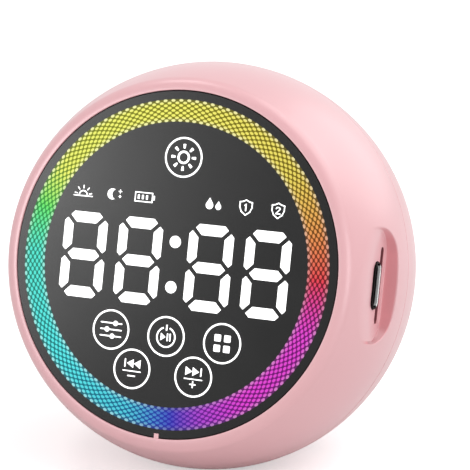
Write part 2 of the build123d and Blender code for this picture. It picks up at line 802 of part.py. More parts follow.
with BuildPart() as usb_shell:
    with BuildSketch(pocket_side.offset(usb_back)):
        with Locations((0, usb_forward)):
            SlotOverall(USB_WIDTH, USB_HEIGHT)
            SlotOverall(USB_WIDTH - 2 * USB_WALL, USB_HEIGHT - 2 * USB_WALL, mode=Mode.SUBTRACT)
    extrude(amount=USB_LENGTH)
    fillet(usb_shell.faces().sort_by(Axis.X)[-1].edges(), USB_LIP_ROUND)
save(usb_shell, "usb_shell")

with BuildPart() as usb_core:
    with BuildSketch(pocket_side.offset(usb_back)):
        with Locations((0, usb_forward)):
            SlotOverall(USB_WIDTH - 2 * USB_WALL, USB_HEIGHT - 2 * USB_WALL)
    extrude(amount=USB_BACK)
    with BuildSketch(pocket_side.offset(usb_back + USB_BACK)):
        with Locations((0, usb_forward)):
            Rectangle(TONGUE_WIDTH, TONGUE_THICKNESS)
    extrude(amount=USB_LENGTH - USB_BACK - TONGUE_RECESS)
save(usb_core, "usb_core")

# Card socket: a flat steel box behind the main board with its mouth at the slit

with BuildPart() as card_socket:
    with BuildSketch(pocket_side.offset(socket_mouth)):
        with Locations((0, card_forward)):
            Rectangle(CARD_SOCKET_WIDTH, CARD_SOCKET_HEIGHT)
    extrude(amount=-CARD_SOCKET_LENGTH)
    with BuildSketch(pocket_side.offset(socket_mouth)):
        with Locations((0, card_forward)):
            Rectangle(CARD_WIDTH + 2 * CARD_GAP, CARD_THICKNESS + 2 * CARD_GAP)
    extrude(amount=-CARD_DEPTH, mode=Mode.SUBTRACT)
save(card_socket, "card_socket")


def screws(places, plane, head_radius, head_height, shank_radius, length):
    """Screws with a cross drive whose heads sit on a plane, with the shanks along its normal."""
    drive_length = 2 * (head_radius - DRIVE_RIM)
    with BuildPart() as group:
        with BuildSketch(plane):
            with Locations(*places):
                Circle(head_radius)
        extrude(amount=-head_height)
        with BuildSketch(plane):
            with Locations(*places):
                Circle(shank_radius)
        extrude(amount=length)
        with BuildSketch(plane.offset(-head_height)):
            with Locations(*places):
                Rectangle(drive_length, DRIVE_WIDTH)
                Rectangle(DRIVE_WIDTH, drive_length)
        extrude(amount=DRIVE_DEPTH, mode=Mode.SUBTRACT)
    return group


small_screw = (BOARD_HEAD_RADIUS, BOARD_HEAD_HEIGHT, BOARD_SCREW_RADIUS, BOARD_SCREW_LENGTH)
led_board_screws = screws(led_board_posts, face.offset(led_board_back), *small_screw)
save(led_board_screws, "led_board_screws")

main_board_screws = screws(main_board_posts, face.offset(board_back), *small_screw)
save(main_board_screws, "main_board_screws")

case_screws = screws(
    case_posts,
    face.offset(seam - CASE_SEAT),
    CASE_HEAD_RADIUS,
    CASE_HEAD_HEIGHT,
    CASE_SCREW_RADIUS,
    CASE_SCREW_LENGTH,
)
save(case_screws, "case_screws")

# Battery: a pouch cell taped to the back of the main board

with BuildPart() as battery_tape:
    with BuildSketch(face.offset(board_back)):
        with Locations((BATTERY_X, BATTERY_Y)):
            Rectangle(BATTERY_WIDTH - 2 * BATTERY_TAPE_MARGIN, BATTERY_LENGTH - 2 * BATTERY_TAPE_MARGIN)
    extrude(amount=-BATTERY_TAPE_THICKNESS)
save(battery_tape, "battery_tape")

with BuildPart() as battery:
    with BuildSketch(face.offset(battery_front)):
        with Locations((BATTERY_X, BATTERY_Y)):
            RectangleRounded(BATTERY_WIDTH, BATTERY_LENGTH, BATTERY_CORNER)
    extrude(amount=-BATTERY_THICKNESS)
    battery_sides = battery.faces().sort_by(display_axis)
    fillet(battery_sides[0].edges() + battery_sides[-1].edges(), BATTERY_EDGE)
save(battery, "battery")

# Speaker frame: a flange with four ears, a windowed basket and a terminal strip

speaker_ears = round_places(ear_reach, SPEAKER_SCREW_ANGLES)
basket_foot = PLATE_RADIUS - BASKET_WALL
with BuildPart() as speaker_frame:
    with BuildSketch(section):
        Polygon(
            (flange_inner, flange_front),
            (flange_inner + BASKET_WALL, flange_front),
            (PLATE_RADIUS, basket_front),
            (basket_bore, basket_front),
            (basket_bore, basket_front - BASKET_WALL),
            (basket_foot, basket_front - BASKET_WALL),
            align=None,
        )
    revolve(axis=display_axis)
    with BuildSketch(face.offset(flange_front + BASKET_WALL)):
        with PolarLocations(PLATE_RADIUS, len(SPEAKER_SCREW_ANGLES)):
            Rectangle(SPEAKER_RADIUS, BASKET_WINDOW_WIDTH)
        Circle(basket_foot, mode=Mode.SUBTRACT)
    extrude(amount=BASKET_DEPTH - BASKET_WALL - BASKET_HOOP, mode=Mode.SUBTRACT)
    with BuildSketch(face.offset(flange_rear)):
        Circle(SPEAKER_RADIUS)
        for ear, angle in zip(speaker_ears, SPEAKER_SCREW_ANGLES):
            with Locations(Location((*ear, 0), (0, 0, angle))):
                Circle(EAR_RADIUS)
                Rectangle(EAR_OFFSET + FLANGE_WIDTH / 2, 2 * EAR_RADIUS, align=(Align.MAX, Align.CENTER))
        Circle(flange_inner, mode=Mode.SUBTRACT)
        with Locations(*speaker_ears):
            Circle(BOARD_SCREW_RADIUS + BOARD_HOLE_GAP, mode=Mode.SUBTRACT)
    extrude(amount=FLANGE_THICKNESS)
    with BuildSketch(face.offset(flange_front)):
        with Locations((0, terminal_reach)):
            Rectangle(TERMINAL_WIDTH, TERMINAL_DEPTH)
    extrude(amount=TERMINAL_HEIGHT)
save(speaker_frame, "speaker_frame")


def turned(*bands):
    """A piece turned round the display axis from rectangular bands."""
    with BuildPart() as piece:
        with BuildSketch(section):
            for inner, outer, low, high in bands:
                band(inner, outer, low, high)
        revolve(axis=display_axis)
    return piece


speaker_gasket = turned((chimney_inner, SPEAKER_RADIUS, speaker_seat, flange_rear))
save(speaker_gasket, "speaker_gasket")

# Magnet system: the coil hangs in the gap between the top plate and the yoke's pole

speaker_top_plate = turned((plate_bore, PLATE_RADIUS, basket_front, plate_front))
save(speaker_top_plate, "speaker_top_plate")

speaker_magnet = turned((COIL_RADIUS + MAGNET_BORE_GAP, MAGNET_RADIUS, plate_front, magnet_front))
save(speaker_magnet, "speaker_magnet")

speaker_yoke = turned(
    (0, PLATE_RADIUS, magnet_front, yoke_front),
    (0, pole_radius, basket_front, magnet_front),
)
save(speaker_yoke, "speaker_yoke")

speaker_coil = turned((coil_inner, COIL_RADIUS, neck - CONE_EDGE, basket_front + COIL_BELOW))
save(speaker_coil, "speaker_coil")

# Cone, with a flat rim for the surround

cone_neck = COIL_RADIUS + CONE_GAP
cone_rim = cone_edge - CONE_EDGE
with BuildPart() as speaker_cone:
    with BuildSketch(section):
        Polygon(
            (cone_neck, neck),
            (cone_neck, neck - CONE_EDGE),
            (cone_rim, flange_rear),
            (cone_edge, flange_rear),
            (cone_edge, flange_rear + CONE_WALL),
            (cone_rim, flange_rear + CONE_WALL),
            align=None,
        )
    revolve(axis=display_axis)
save(speaker_cone, "speaker_cone")

# Dust cap: a shallow dome on the cone's rear side

cone_slope = (neck - CONE_EDGE - flange_rear) / (cone_rim - cone_neck)
cap_base = neck - CONE_EDGE - cone_slope * (CAP_RADIUS - cone_neck) - CONE_GAP
cap_curve = (CAP_RADIUS**2 + CAP_HEIGHT**2) / (2 * CAP_HEIGHT)
with BuildPart() as speaker_dust_cap:
    with BuildSketch(section):
        with Locations((0, cap_base - CAP_HEIGHT + cap_curve)):
            Circle(cap_curve)
            Circle(cap_curve - CAP_THICKNESS, mode=Mode.SUBTRACT)
        with Locations((0, cap_base)):
            Rectangle(CAP_RADIUS, CAP_HEIGHT, align=(Align.MIN, Align.MAX), mode=Mode.INTERSECT)
    revolve(axis=display_axis)
save(speaker_dust_cap, "speaker_dust_cap")

# Surround: a rubber half roll between the cone's rim and the flange

surround_rear = flange_rear - SURROUND_THICKNESS
with BuildPart() as speaker_surround:
    with BuildSketch(section):
        with Locations((roll_centre, flange_rear)):
            Circle(ROLL_RADIUS)
            Circle(ROLL_RADIUS - SURROUND_THICKNESS, mode=Mode.SUBTRACT)
            Rectangle(
                2 * ROLL_RADIUS,
                ROLL_RADIUS,
                align=(Align.CENTER, Align.MAX),
                mode=Mode.INTERSECT,
            )
        band(cone_rim, cone_edge + SURROUND_THICKNESS, surround_rear, flange_rear)
        band(flange_inner - SURROUND_THICKNESS, flange_inner + SURROUND_RIM, surround_rear, flange_rear)
    revolve(axis=display_axis)
save(speaker_surround, "speaker_surround")

# Spider: the cloth disc that centres the coil, glued into the basket's foot

basket_slope = (flange_inner - basket_foot) / (BASKET_DEPTH - BASKET_WALL)
spider_outer = basket_foot + basket_slope * (SPIDER_RISE - BASKET_WALL) - CONE_GAP
speaker_spider = turned((cone_neck, spider_outer, spider_front - SPIDER_THICKNESS, spider_front))
save(speaker_spider, "speaker_spider")

rearward = Plane(origin=face.offset(flange_front).origin, x_dir=(1, 0, 0), z_dir=-forward)
speaker_screws = screws(speaker_ears, rearward, *small_screw)
save(speaker_screws, "speaker_screws")

# Rear grille: a cap of the ball with rings of holes

with BuildPart() as speaker_grille:
    with BuildSketch(section):
        Circle(ball_radius)
        Circle(grille_inside, mode=Mode.SUBTRACT)
        Rectangle(grille_radius, ball_radius, align=(Align.MIN, Align.MAX), mode=Mode.INTERSECT)
    revolve(axis=display_axis)
    with BuildSketch(face):
        Circle(GRILLE_HOLE_RADIUS)
        for ring in range(1, GRILLE_RINGS + 1):
            with PolarLocations(ring * grille_step, ring * GRILLE_RING_HOLES):
                Circle(GRILLE_HOLE_RADIUS)
    extrude(amount=-ball_radius, mode=Mode.SUBTRACT)
save(speaker_grille, "speaker_grille")


# Leads inside the case. Each bend is as wide as its two runs allow.


def lead(name, points):
    """A round lead along points given across, up and forwards from the ball's centre."""
    route = [face.from_local_coords(Vector(*point)) for point in points]
    runs = [end - start for start, end in zip(route, route[1:])]
    radii = [
        BEND_SHARE * min(before.length, after.length) / tan(radians(before.get_angle(after)) / 2)
        for before, after in zip(runs, runs[1:])
    ]
    print(name, "bend radii", [round(radius, 1) for radius in radii])
    with BuildPart() as cable:
        with BuildLine() as path:
            FilletPolyline(*route, radius=radii)
        with BuildSketch(Plane(origin=route[0], z_dir=runs[0])):
            Circle(LEAD_RADIUS)
        sweep(path=path.line)
    tube_volume = pi * LEAD_RADIUS**2 * path.wires()[0].length
    print(name, "volume over section times length", round(cable.part.volume / tube_volume, 3))
    save(cable, name)


plug_mouth = PLUG_Y - PLUG_DEPTH / 2
plug_middle = board_back - PLUG_HEIGHT / 2
battery_middle = battery_front - BATTERY_THICKNESS / 2
terminal_top = flange_front + TERMINAL_HEIGHT
between = (battery_top + plug_mouth) / 2

lead(
    "battery_lead",
    [
        (-PLUG_SPACING + LEAD_SWAY, battery_top, battery_middle),
        (-PLUG_SPACING + LEAD_SWAY, between - LEAD_SWAY / 2, battery_middle),
        (-PLUG_SPACING, between + LEAD_SWAY / 2, plug_middle),
        (-PLUG_SPACING, plug_mouth, plug_middle),
    ],
)
lead(
    "speaker_lead",
    [
        (PLUG_SPACING, plug_mouth, plug_middle),
        (PLUG_SPACING, between, plug_middle),
        (PLUG_SPACING - LEAD_SWAY, between - LEAD_SWAY / 2, battery_front - BATTERY_THICKNESS),
        (LEAD_SWAY, (between + terminal_reach) / 2, (battery_front + terminal_top) / 2 - LEAD_SWAY),
        (0, terminal_reach, terminal_top + LEAD_RUN),
        (0, terminal_reach, terminal_top),
    ],
)
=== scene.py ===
from math import asin, atan2, cos, hypot, pi, radians, sin, sqrt

import bmesh
import bpy
from mathutils import Matrix, Vector


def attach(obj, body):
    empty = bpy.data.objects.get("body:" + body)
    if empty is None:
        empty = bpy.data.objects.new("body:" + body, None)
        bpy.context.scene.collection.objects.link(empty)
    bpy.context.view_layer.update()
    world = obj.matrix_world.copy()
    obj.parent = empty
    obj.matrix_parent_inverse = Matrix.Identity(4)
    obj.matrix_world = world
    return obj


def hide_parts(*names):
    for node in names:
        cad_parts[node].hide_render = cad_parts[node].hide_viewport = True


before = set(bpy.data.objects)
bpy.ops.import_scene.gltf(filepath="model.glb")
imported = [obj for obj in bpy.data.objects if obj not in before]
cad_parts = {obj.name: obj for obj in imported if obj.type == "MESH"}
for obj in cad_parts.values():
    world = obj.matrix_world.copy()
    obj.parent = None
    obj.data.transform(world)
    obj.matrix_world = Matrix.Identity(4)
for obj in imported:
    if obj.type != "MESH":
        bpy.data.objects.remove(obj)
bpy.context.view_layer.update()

# FRONT HALF OF THE CASE
# A ball moulded in pink ABS with a fine satin grain. A rounded land frames the panel's recess, and the
# side pocket is a flat scooped into the ball that runs out to the front and ends in a steep wall at the
# rear.

ball_radius = 39.994
wall = 2.2
seam = -1.0
lean = radians(15)
ball_height = 38.297
foot_set_back = 2.2
lean_frame = Matrix((
    (1, 0, 0, 0),
    (0, sin(lean), -cos(lean), -foot_set_back),
    (0, cos(lean), sin(lean), ball_height),
    (0, 0, 0, 1),
))
to_metres = Matrix.Scale(0.001, 4)
display_frame = to_metres @ lean_frame


def spread(first, last, steps):
    """Evenly spaced values from the first to the last, both included."""
    return [first + (last - first) * step / steps for step in range(steps + 1)]


def arc(x, y, radius, start, end, steps):
    """Points of an arc, with its angles in degrees."""
    return [(x + radius * cos(radians(a)), y + radius * sin(radians(a))) for a in spread(start, end, steps)]


def circle(x, y, radius, steps):
    """Outline of a full circle."""
    return arc(x, y, radius, 0, 360 - 360 / steps, steps - 1)


def rectangle(left, low, right, high):
    """Outline of a rectangle."""
    return [(left, low), (right, low), (right, high), (left, high)]


def add_piece(mesh, material, slot, *nodes):
    """A finished mesh as a piece of the clock, in place of the CAD nodes that it stands for."""
    mesh.materials.clear()
    mesh.materials.append(material)
    piece = bpy.data.objects.new(mesh.name, mesh)
    bpy.context.scene.collection.objects.link(piece)
    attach(piece, "clock")
    if nodes:
        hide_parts(*nodes)


def add_node(tree, kind, inputs=None, **settings):
    """A shader or geometry node with its settings, and its inputs set or linked by name or number."""
    node = tree.nodes.new(kind)
    for key, value in settings.items():
        setattr(node, key, value)
    for key, value in (inputs or {}).items():
        if isinstance(value, bpy.types.NodeSocket):
            tree.links.new(value, node.inputs[key])
        else:
            node.inputs[key].default_value = value
    return node


def blend(tree, factor, first, second):
    """A colour that goes from the first to the second with a factor."""
    mix = add_node(tree, "ShaderNodeMix", data_type="RGBA")
    for number, value in ((0, factor), (6, first), (7, second)):
        if isinstance(value, bpy.types.NodeSocket):
            tree.links.new(value, mix.inputs[number])
        else:
            mix.inputs[number].default_value = value
    return mix.outputs[2]


def between(tree, value, low, high):
    """A value from 0 to 1 moved to a range."""
    ends = {"Value": value, "To Min": low, "To Max": high}
    return add_node(tree, "ShaderNodeMapRange", ends).outputs["Result"]


def paint(code):
    """A colour written as on a screen, as the shader's numbers."""
    parts = [int(code[place:place + 2], 16) / 255 for place in (0, 2, 4)]
    return (*[p / 12.92 if p < 0.04045 else ((p + 0.055) / 1.055) ** 2.4 for p in parts], 1)


def new_finish(name, values):
    """A material with one shader, and the shader's values that are the same all over it."""
    material = bpy.data.materials.new(name)
    material.use_nodes = True
    shader = material.node_tree.nodes["Principled BSDF"]
    for key, value in values.items():
        shader.inputs[key].default_value = value
    return material, material.node_tree, shader


grain_group = bpy.data.node_groups.new("moulded_grain", "ShaderNodeTree")
grain_group.interface.new_socket("Vector", in_out="INPUT", socket_type="NodeSocketVector")
grain_group.interface.new_socket("Grain Size", in_out="INPUT", socket_type="NodeSocketFloat")
grain_group.interface.new_socket("Cloud Size", in_out="INPUT", socket_type="NodeSocketFloat")
grain_group.interface.new_socket("Height", in_out="OUTPUT", socket_type="NodeSocketFloat")
grain_group.interface.new_socket("Cloud", in_out="OUTPUT", socket_type="NodeSocketFloat")
group_in = add_node(grain_group, "NodeGroupInput")
group_out = add_node(grain_group, "NodeGroupOutput")
for size_name, detail, output in (("Grain Size", 2, "Height"), ("Cloud Size", 4, "Cloud")):
    size = group_in.outputs[size_name]
    scale = add_node(grain_group, "ShaderNodeMath", {0: 1.0, 1: size}, operation="DIVIDE")
    noise = add_node(
        grain_group,
        "ShaderNodeTexNoise",
        {"Vector": group_in.outputs["Vector"], "Scale": scale.outputs[0], "Detail": detail},
    )
    grain_group.links.new(noise.outputs["Fac"], group_out.inputs[output])


def moulded(name, colour, roughness, grain=0.0003, depth=0.00001, tone=0.04, values=None, painted_shade_colours=None):
    """A moulded finish: a fine grain, a faint cloud in colour and gloss, and painted shade from a point
    attribute.
    """
    material, tree, shader = new_finish(name, values or {})
    place = add_node(tree, "ShaderNodeTexCoord").outputs["Object"]
    group = add_node(tree, "ShaderNodeGroup", node_tree=grain_group)
    tree.links.new(place, group.inputs["Vector"])
    group.inputs["Grain Size"].default_value = grain
    group.inputs["Cloud Size"].default_value = 0.012
    cloud = group.outputs["Cloud"]
    dark = [part * (1 - tone) for part in colour[:3]] + [1]
    light = [part * (1 + tone) for part in colour[:3]] + [1]
    mixed = blend(tree, cloud, dark, light)
    if painted_shade_colours:
        painted_shade_amount = add_node(tree, "ShaderNodeAttribute", attribute_name="wall_shade").outputs["Fac"]
        for number, colour in enumerate(painted_shade_colours):
            ends = {"Value": painted_shade_amount, "From Min": number / 2, "From Max": number / 2 + 0.5}
            mixed = blend(tree, add_node(tree, "ShaderNodeMapRange", ends).outputs["Result"], mixed, colour)
    tree.links.new(mixed, shader.inputs["Base Color"])
    tree.links.new(between(tree, cloud, roughness - 0.05, roughness + 0.05), shader.inputs["Roughness"])
    relief = {"Strength": 1.0, "Distance": depth, "Height": group.outputs["Height"]}
    bump = add_node(tree, "ShaderNodeBump", relief)
    tree.links.new(bump.outputs["Normal"], shader.inputs["Normal"])
    return material


# Painted shade: the last two colours darken the pocket's wall to a deeper pink and the sides of the two
# openings to a dark red-brown, by a point attribute on the front half.
case_pink = moulded(
    "case_pink", paint("dca5aa"), 0.45, grain=0.00035, depth=0.000006, tone=0.015,
    values={"Specular IOR Level": 0.8, "Coat Weight": 1.0, "Coat Roughness": 0.29},
    painted_shade_colours=(paint("d27c83"), paint("83434a")),
)

# The profile goes up the outside of the ball, over the land into the recess, and back down the inside.

columns = 400
seam_edge = 0.25
face_place = 19.65
face_edge = 2.7
recess_radius = 33.03
recess_edge = 0.12
ledge_front, ledge_back, ledge_inner = 17.2, 15.8, 31.979
lip_room, lip_top = 1.1, 1.3
seam_round = (sqrt((ball_radius - seam_edge) ** 2 - (seam + seam_edge) ** 2), seam + seam_edge)
face_round = (sqrt((ball_radius - face_edge) ** 2 - (face_place - face_edge) ** 2), face_place - face_edge)
low_angle = atan2(seam_round[1], seam_round[0]) * 180 / pi
high_angle = atan2(face_round[1], face_round[0]) * 180 / pi
inner_radius = ball_radius - wall

profile = arc(*seam_round, seam_edge, -90, low_angle, 5)
first_ball_row = len(profile) - 1
profile += arc(0, 0, ball_radius, low_angle, high_angle, 40)[1:]
profile += arc(*face_round, face_edge, high_angle, 90, 14)[1:]
profile += arc(recess_radius + recess_edge, face_place - recess_edge, recess_edge, 90, 180, 4)
profile += [(recess_radius, ledge_front), (ledge_inner, ledge_front), (ledge_inner, ledge_back)]
first_inner_row = len(profile)
inner_top = asin(ledge_back / inner_radius) * 180 / pi
inner_low = asin(lip_top / inner_radius) * 180 / pi
profile += arc(0, 0, inner_radius, inner_top, inner_low, 24)
profile += [(inner_radius + lip_room, lip_top), (inner_radius + lip_room, seam)]

# Inside, the wall thickens to a flat boss behind the pocket and to a floor over the foot.

pocket_place = 9.55
pocket_length, pocket_width = 21.6, 10.1
pocket_floor = ball_radius - 3.0
boss_face = pocket_floor - 1.8
boss_straight, boss_radius = 6, 6.8
floor_top, lip_step = 3.4, 0.4
points = []
for row, (radius, place) in enumerate(profile):
    for column in range(columns):
        angle = 2 * pi * column / columns
        x, y = radius * cos(angle), radius * sin(angle)
        if row >= first_inner_row:
            if hypot(max(abs(y) - boss_straight, 0), place - pocket_place) < boss_radius:
                x = min(x, boss_face)
            floor_here = floor_top - lip_step if radius > inner_radius else floor_top
            y += max(floor_here - ball_height - y * cos(lean) - place * sin(lean), 0) / cos(lean)
        points.append((x, y, place))

patch_half = 30
patch_low = first_ball_row + 3
patch_high = first_ball_row + 39
faces = []
for row in range(len(profile)):
    upper = (row + 1) % len(profile)
    for column in range(columns):
        beside = (column + 1) % columns
        turned = (column + patch_half) % columns
        if patch_low <= row < patch_high and turned < 2 * patch_half:
            continue
        faces.append((
            row * columns + column,
            row * columns + beside,
            upper * columns + beside,
            upper * columns + column,
        ))

# The pocket is a patch of loops from that gap's rim to its middle. Its wall is steep along the slot's own
# edge, and to the front its floor runs out softly through the ball. A painted shade for the wall is kept
# with the points: it grows with the wall's height, and is full sooner and darker at the pocket's low end.

pocket_straight = (pocket_length - pocket_width) / 2
soft_edge = 0.34
soft_run_out = 0.8
edge_sharpness = 16
side_depth, low_depth = 1.6, 0.3
side_painted_shade, low_painted_shade = 0.5, 0.8
run_out_radius = sqrt(ball_radius ** 2 - (pocket_floor - soft_run_out) ** 2)


def pocket_edge(angle, grow):
    """Distance from the pocket's middle to its edge in one direction, with the edge moved outwards."""
    across, front = abs(cos(angle)), sin(angle)
    bend = pocket_width / 2 + grow
    if front >= 0:
        side = (pocket_straight + bend) / max(across, 0.001)
    elif across * bend <= -pocket_straight * front:
        side = -bend / front
    else:
        side = pocket_straight * across + sqrt(bend ** 2 - (pocket_straight * front) ** 2)
    away = pocket_place * front
    run_out = sqrt(away ** 2 - pocket_place ** 2 + (run_out_radius + grow) ** 2) - away
    return (side ** -edge_sharpness + run_out ** -edge_sharpness) ** (-1 / edge_sharpness)


def on_ball(y, z):
    """Distance of the ball's surface from its middle, towards the pocket's side."""
    return sqrt(ball_radius ** 2 - y ** 2 - z ** 2)


rim = [(patch_low, column) for column in range(-patch_half, patch_half)]
rim += [(row, patch_half) for row in range(patch_low, patch_high)]
rim += [(patch_high, column) for column in range(patch_half, -patch_half, -1)]
rim += [(row, -patch_half) for row in range(patch_high, patch_low, -1)]
loop = [row * columns + column % columns for row, column in rim]
rim_places = [(points[index][1], points[index][2]) for index in loop]
directions = [atan2(z - pocket_place, y) for y, z in rim_places]
painted_shade_per_point = [0.0] * len(points)
widest, narrowest = 1.0, -0.9
rings = [(widest, step / 9) for step in range(1, 10)]
rings += [(grow, 1) for grow in (0.8, 0.6, 0.46, *spread(soft_edge, -soft_edge, 12), -0.5, narrowest)]
rings += [(narrowest, -step / 12) for step in range(1, 12)]
for grow, step in rings:
    fresh = []
    for direction, (rim_y, rim_z) in zip(directions, rim_places):
        reach = pocket_edge(direction, grow) * (1 + min(step, 0))
        y, z = reach * cos(direction), pocket_place + reach * sin(direction)
        if grow == widest:
            y, z = rim_y + (y - rim_y) * step, rim_z + (z - rim_z) * step
        share = min(max((soft_edge - grow) / (2 * soft_edge), 0), 1)
        sunk = share * share * (3 - 2 * share)
        ball = on_ball(y, z)
        meeting = max(1 - abs(ball - pocket_floor) / soft_run_out, 0)
        floor = min(ball, pocket_floor) - meeting ** 2 * soft_run_out / 4
        low_end = min(max((-y - pocket_straight) / (pocket_width / 2), 0), 1)
        depth = min(max((ball - floor) / (side_depth + (low_depth - side_depth) * low_end), 0), 1)
        fresh.append(len(points))
        points.append((ball + (floor - ball) * sunk, y, z))
        wall_share = min(max(8 * share - 1, 0), 1) * min(12 * (1 - share), 1)
        painted_shade_per_point.append(depth * wall_share * (side_painted_shade + (low_painted_shade - side_painted_shade) * low_end))
    for index in range(len(loop)):
        after = (index + 1) % len(loop)
        faces.append((loop[index], loop[after], fresh[after], fresh[index]))
    loop = fresh
faces.append(tuple(loop))


def new_mesh(name, points, faces):
    """A mesh from points and faces."""
    mesh = bpy.data.meshes.new(name)
    mesh.from_pydata(points, [], faces)
    return mesh


def prism(outline, low, high, upright=True):
    """Points and faces of a closed slab over an outline, along the display's axis or along the side's."""
    count = len(outline)
    points = [(x, y, z) if upright else (z, x, y) for z in (low, high) for x, y in outline]
    faces = [tuple(range(count, 2 * count)), tuple(range(count - 1, -1, -1))]
    faces += [(i, (i + 1) % count, count + (i + 1) % count, count + i) for i in range(count)]
    return points, faces


def slot_outline(x, y, length, width, steps=16):
    """Outline of a slot with round ends, longer along its first direction."""
    half = (length - width) / 2
    return arc(x + half, y, width / 2, -90, 90, steps) + arc(x - half, y, width / 2, 90, 270, steps)


def discard(holder):
    """Take an object that only held a mesh out of the file, with the mesh."""
    bpy.data.meshes.remove(holder.data)


def evaluated(holder):
    """A plain mesh of an object with its modifiers, which is then removed."""
    mesh = bpy.data.meshes.new_from_object(holder.evaluated_get(bpy.context.evaluated_depsgraph_get()))
    name = holder.name
    discard(holder)
    mesh.name = name
    return mesh


def holder_of(mesh):
    """An object in the scene that holds a mesh while it is worked on."""
    holder = bpy.data.objects.new(mesh.name, mesh)
    bpy.context.scene.collection.objects.link(holder)
    return holder


charging_length, charging_width = 9.24, 3.5
slit_place, slit_length, slit_width = 7.25, 14.6, 1.7
shell = holder_of(new_mesh("front_case", points, faces))
# The painted shade of the pocket's wall and openings is stored on the points as an attribute.
shell.data.attributes.new("wall_shade", "FLOAT", "POINT").data.foreach_set("value", painted_shade_per_point)
cutters = []
for name, outline in (
    ("charging_hole", slot_outline(0, pocket_place, charging_length, charging_width)),
    ("card_slit", slot_outline(0, slit_place, slit_length, slit_width)),
):
    cutter = holder_of(new_mesh(name, *prism(outline, boss_face - 1, pocket_floor + 1, upright=False)))
    cutters.append(cutter)
    cut = shell.modifiers.new(name, "BOOLEAN")
    cut.operation = "DIFFERENCE"
    cut.solver = "EXACT"
    cut.object = cutter
bpy.context.view_layer.update()
front_mesh = evaluated(shell)
for cutter in cutters:
    discard(cutter)

# The sides of the two openings are painted a dark red-brown shade, from just below the pocket's floor.

openings_reach = 8.5
painted_shade_from = pocket_floor - 0.15
work = bmesh.new()
work.from_mesh(front_mesh)
work.normal_update()
sides = []
for face in work.faces:
    middle = face.calc_center_median()
    near = hypot(middle.y, middle.z - pocket_place) < openings_reach
    if near and abs(face.normal.x) < 0.1 and boss_face < middle.x < pocket_floor - 0.3:
        sides.append(face)
around = {part for face in sides for part in (*face.verts, *face.edges)}
cut = bmesh.ops.bisect_plane(work, geom=[*sides, *around], plane_co=(painted_shade_from, 0, 0), plane_no=(1, 0, 0))
wall_shade = work.verts.layers.float["wall_shade"]
for part in (*cut["geom_cut"], *around):
    if isinstance(part, bmesh.types.BMVert) and part.is_valid and part.co.x < painted_shade_from + 0.01:
        part[wall_shade] = 1

# Posts for the two boards and the case screws are trimmed to the ball's wall. A tab turns the panel
# right, and the ball is cut flat over the foot.

board_reach, board_post = 34.01, 2.0
screw_reach, screw_post = 35.21, 3.2
led_board_place, main_board_place = 12.5, 8.7
post_top = ledge_front - 0.7
post_sides = 32
tab_half, tab_outer, tab_inner, tab_face = 0.475, -33.4, -32.11, 19.5
foot_flat = 0.6
for reach, radius, place, angles in (
    (board_reach, board_post, led_board_place, (30, 150, 210, 330)),
    (board_reach, board_post, main_board_place, (90, 180, 270)),
    (screw_reach, screw_post, seam, (60, 120, 240, 300)),
):
    for angle in angles:
        middle = (reach * cos(radians(angle)), reach * sin(radians(angle)))
        ring_places = circle(*middle, radius, post_sides)
        levels = spread(place, post_top, 16)
        post = [[work.verts.new((x, y, z)) for x, y in ring_places] for z in levels]
        for level in post:
            for vertex in level:
                limit = sqrt((ball_radius - wall / 2) ** 2 - vertex.co.z ** 2)
                shrink = min(limit / hypot(vertex.co.x, vertex.co.y), 1)
                vertex.co.x *= shrink
                vertex.co.y *= shrink
        for low_level, high_level in zip(post, post[1:]):
            for i in range(post_sides):
                j = (i + 1) % post_sides
                work.faces.new((low_level[i], low_level[j], high_level[j], high_level[i]))
        work.faces.new(post[0][::-1])
        work.faces.new(post[-1])
tab_outline = rectangle(-tab_half, tab_outer, tab_half, tab_inner)
tab_points, tab_faces = prism(tab_outline, ledge_front - 0.3, tab_face)
tab = [work.verts.new(point) for point in tab_points]
for face in tab_faces:
    work.faces.new([tab[index] for index in face])
work.transform(lean_frame)
cut = bmesh.ops.bisect_plane(
    work,
    geom=work.verts[:] + work.edges[:] + work.faces[:],
    plane_co=(0, 0, foot_flat),
    plane_no=(0, 0, -1),
    clear_outer=True,
)
flat_edges = [part for part in cut["geom_cut"] if isinstance(part, bmesh.types.BMEdge)]
bmesh.ops.triangle_fill(work, use_beauty=True, edges=flat_edges, normal=(0, 0, -1))
work.transform(to_metres)
work.to_mesh(front_mesh)
work.free()
front_mesh.polygons.foreach_set("use_smooth", [True] * len(front_mesh.polygons))
front_mesh.set_sharp_from_angle(angle=radians(34))
add_piece(front_mesh, case_pink, "pink_case", "front_shell")

# FRONT PANEL
# A disc of smoked acrylic, polished in front and stuck on a ledge with a ring of black tape. The lit
# signs shine through it, so they show in its front face.


def dress(material, *nodes):
    """Give CAD nodes a finish."""
    for node in nodes:
        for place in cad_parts[node].material_slots:
            place.material = material


panel_smoke = moulded(
    "panel_smoke", paint("060606"), 0.23, grain=0.004, depth=0.0000005, tone=0.08,
    values={"Specular IOR Level": 0.28},
)
tape_black = moulded("tape_black", paint("141414"), 0.85, grain=0.0002, depth=0.00002)
dress(panel_smoke, "front_panel")
dress(tape_black, "panel_tape")

# DIGITS
# Four digits of seven white diffuser bars and a colon of two dots, lit from behind. The bars have pointed
# ends with soft corners, the upright ones are a little thinner, and each digit is the same piece set at
# its own place.

panel_face = 19.5
film = 0.03


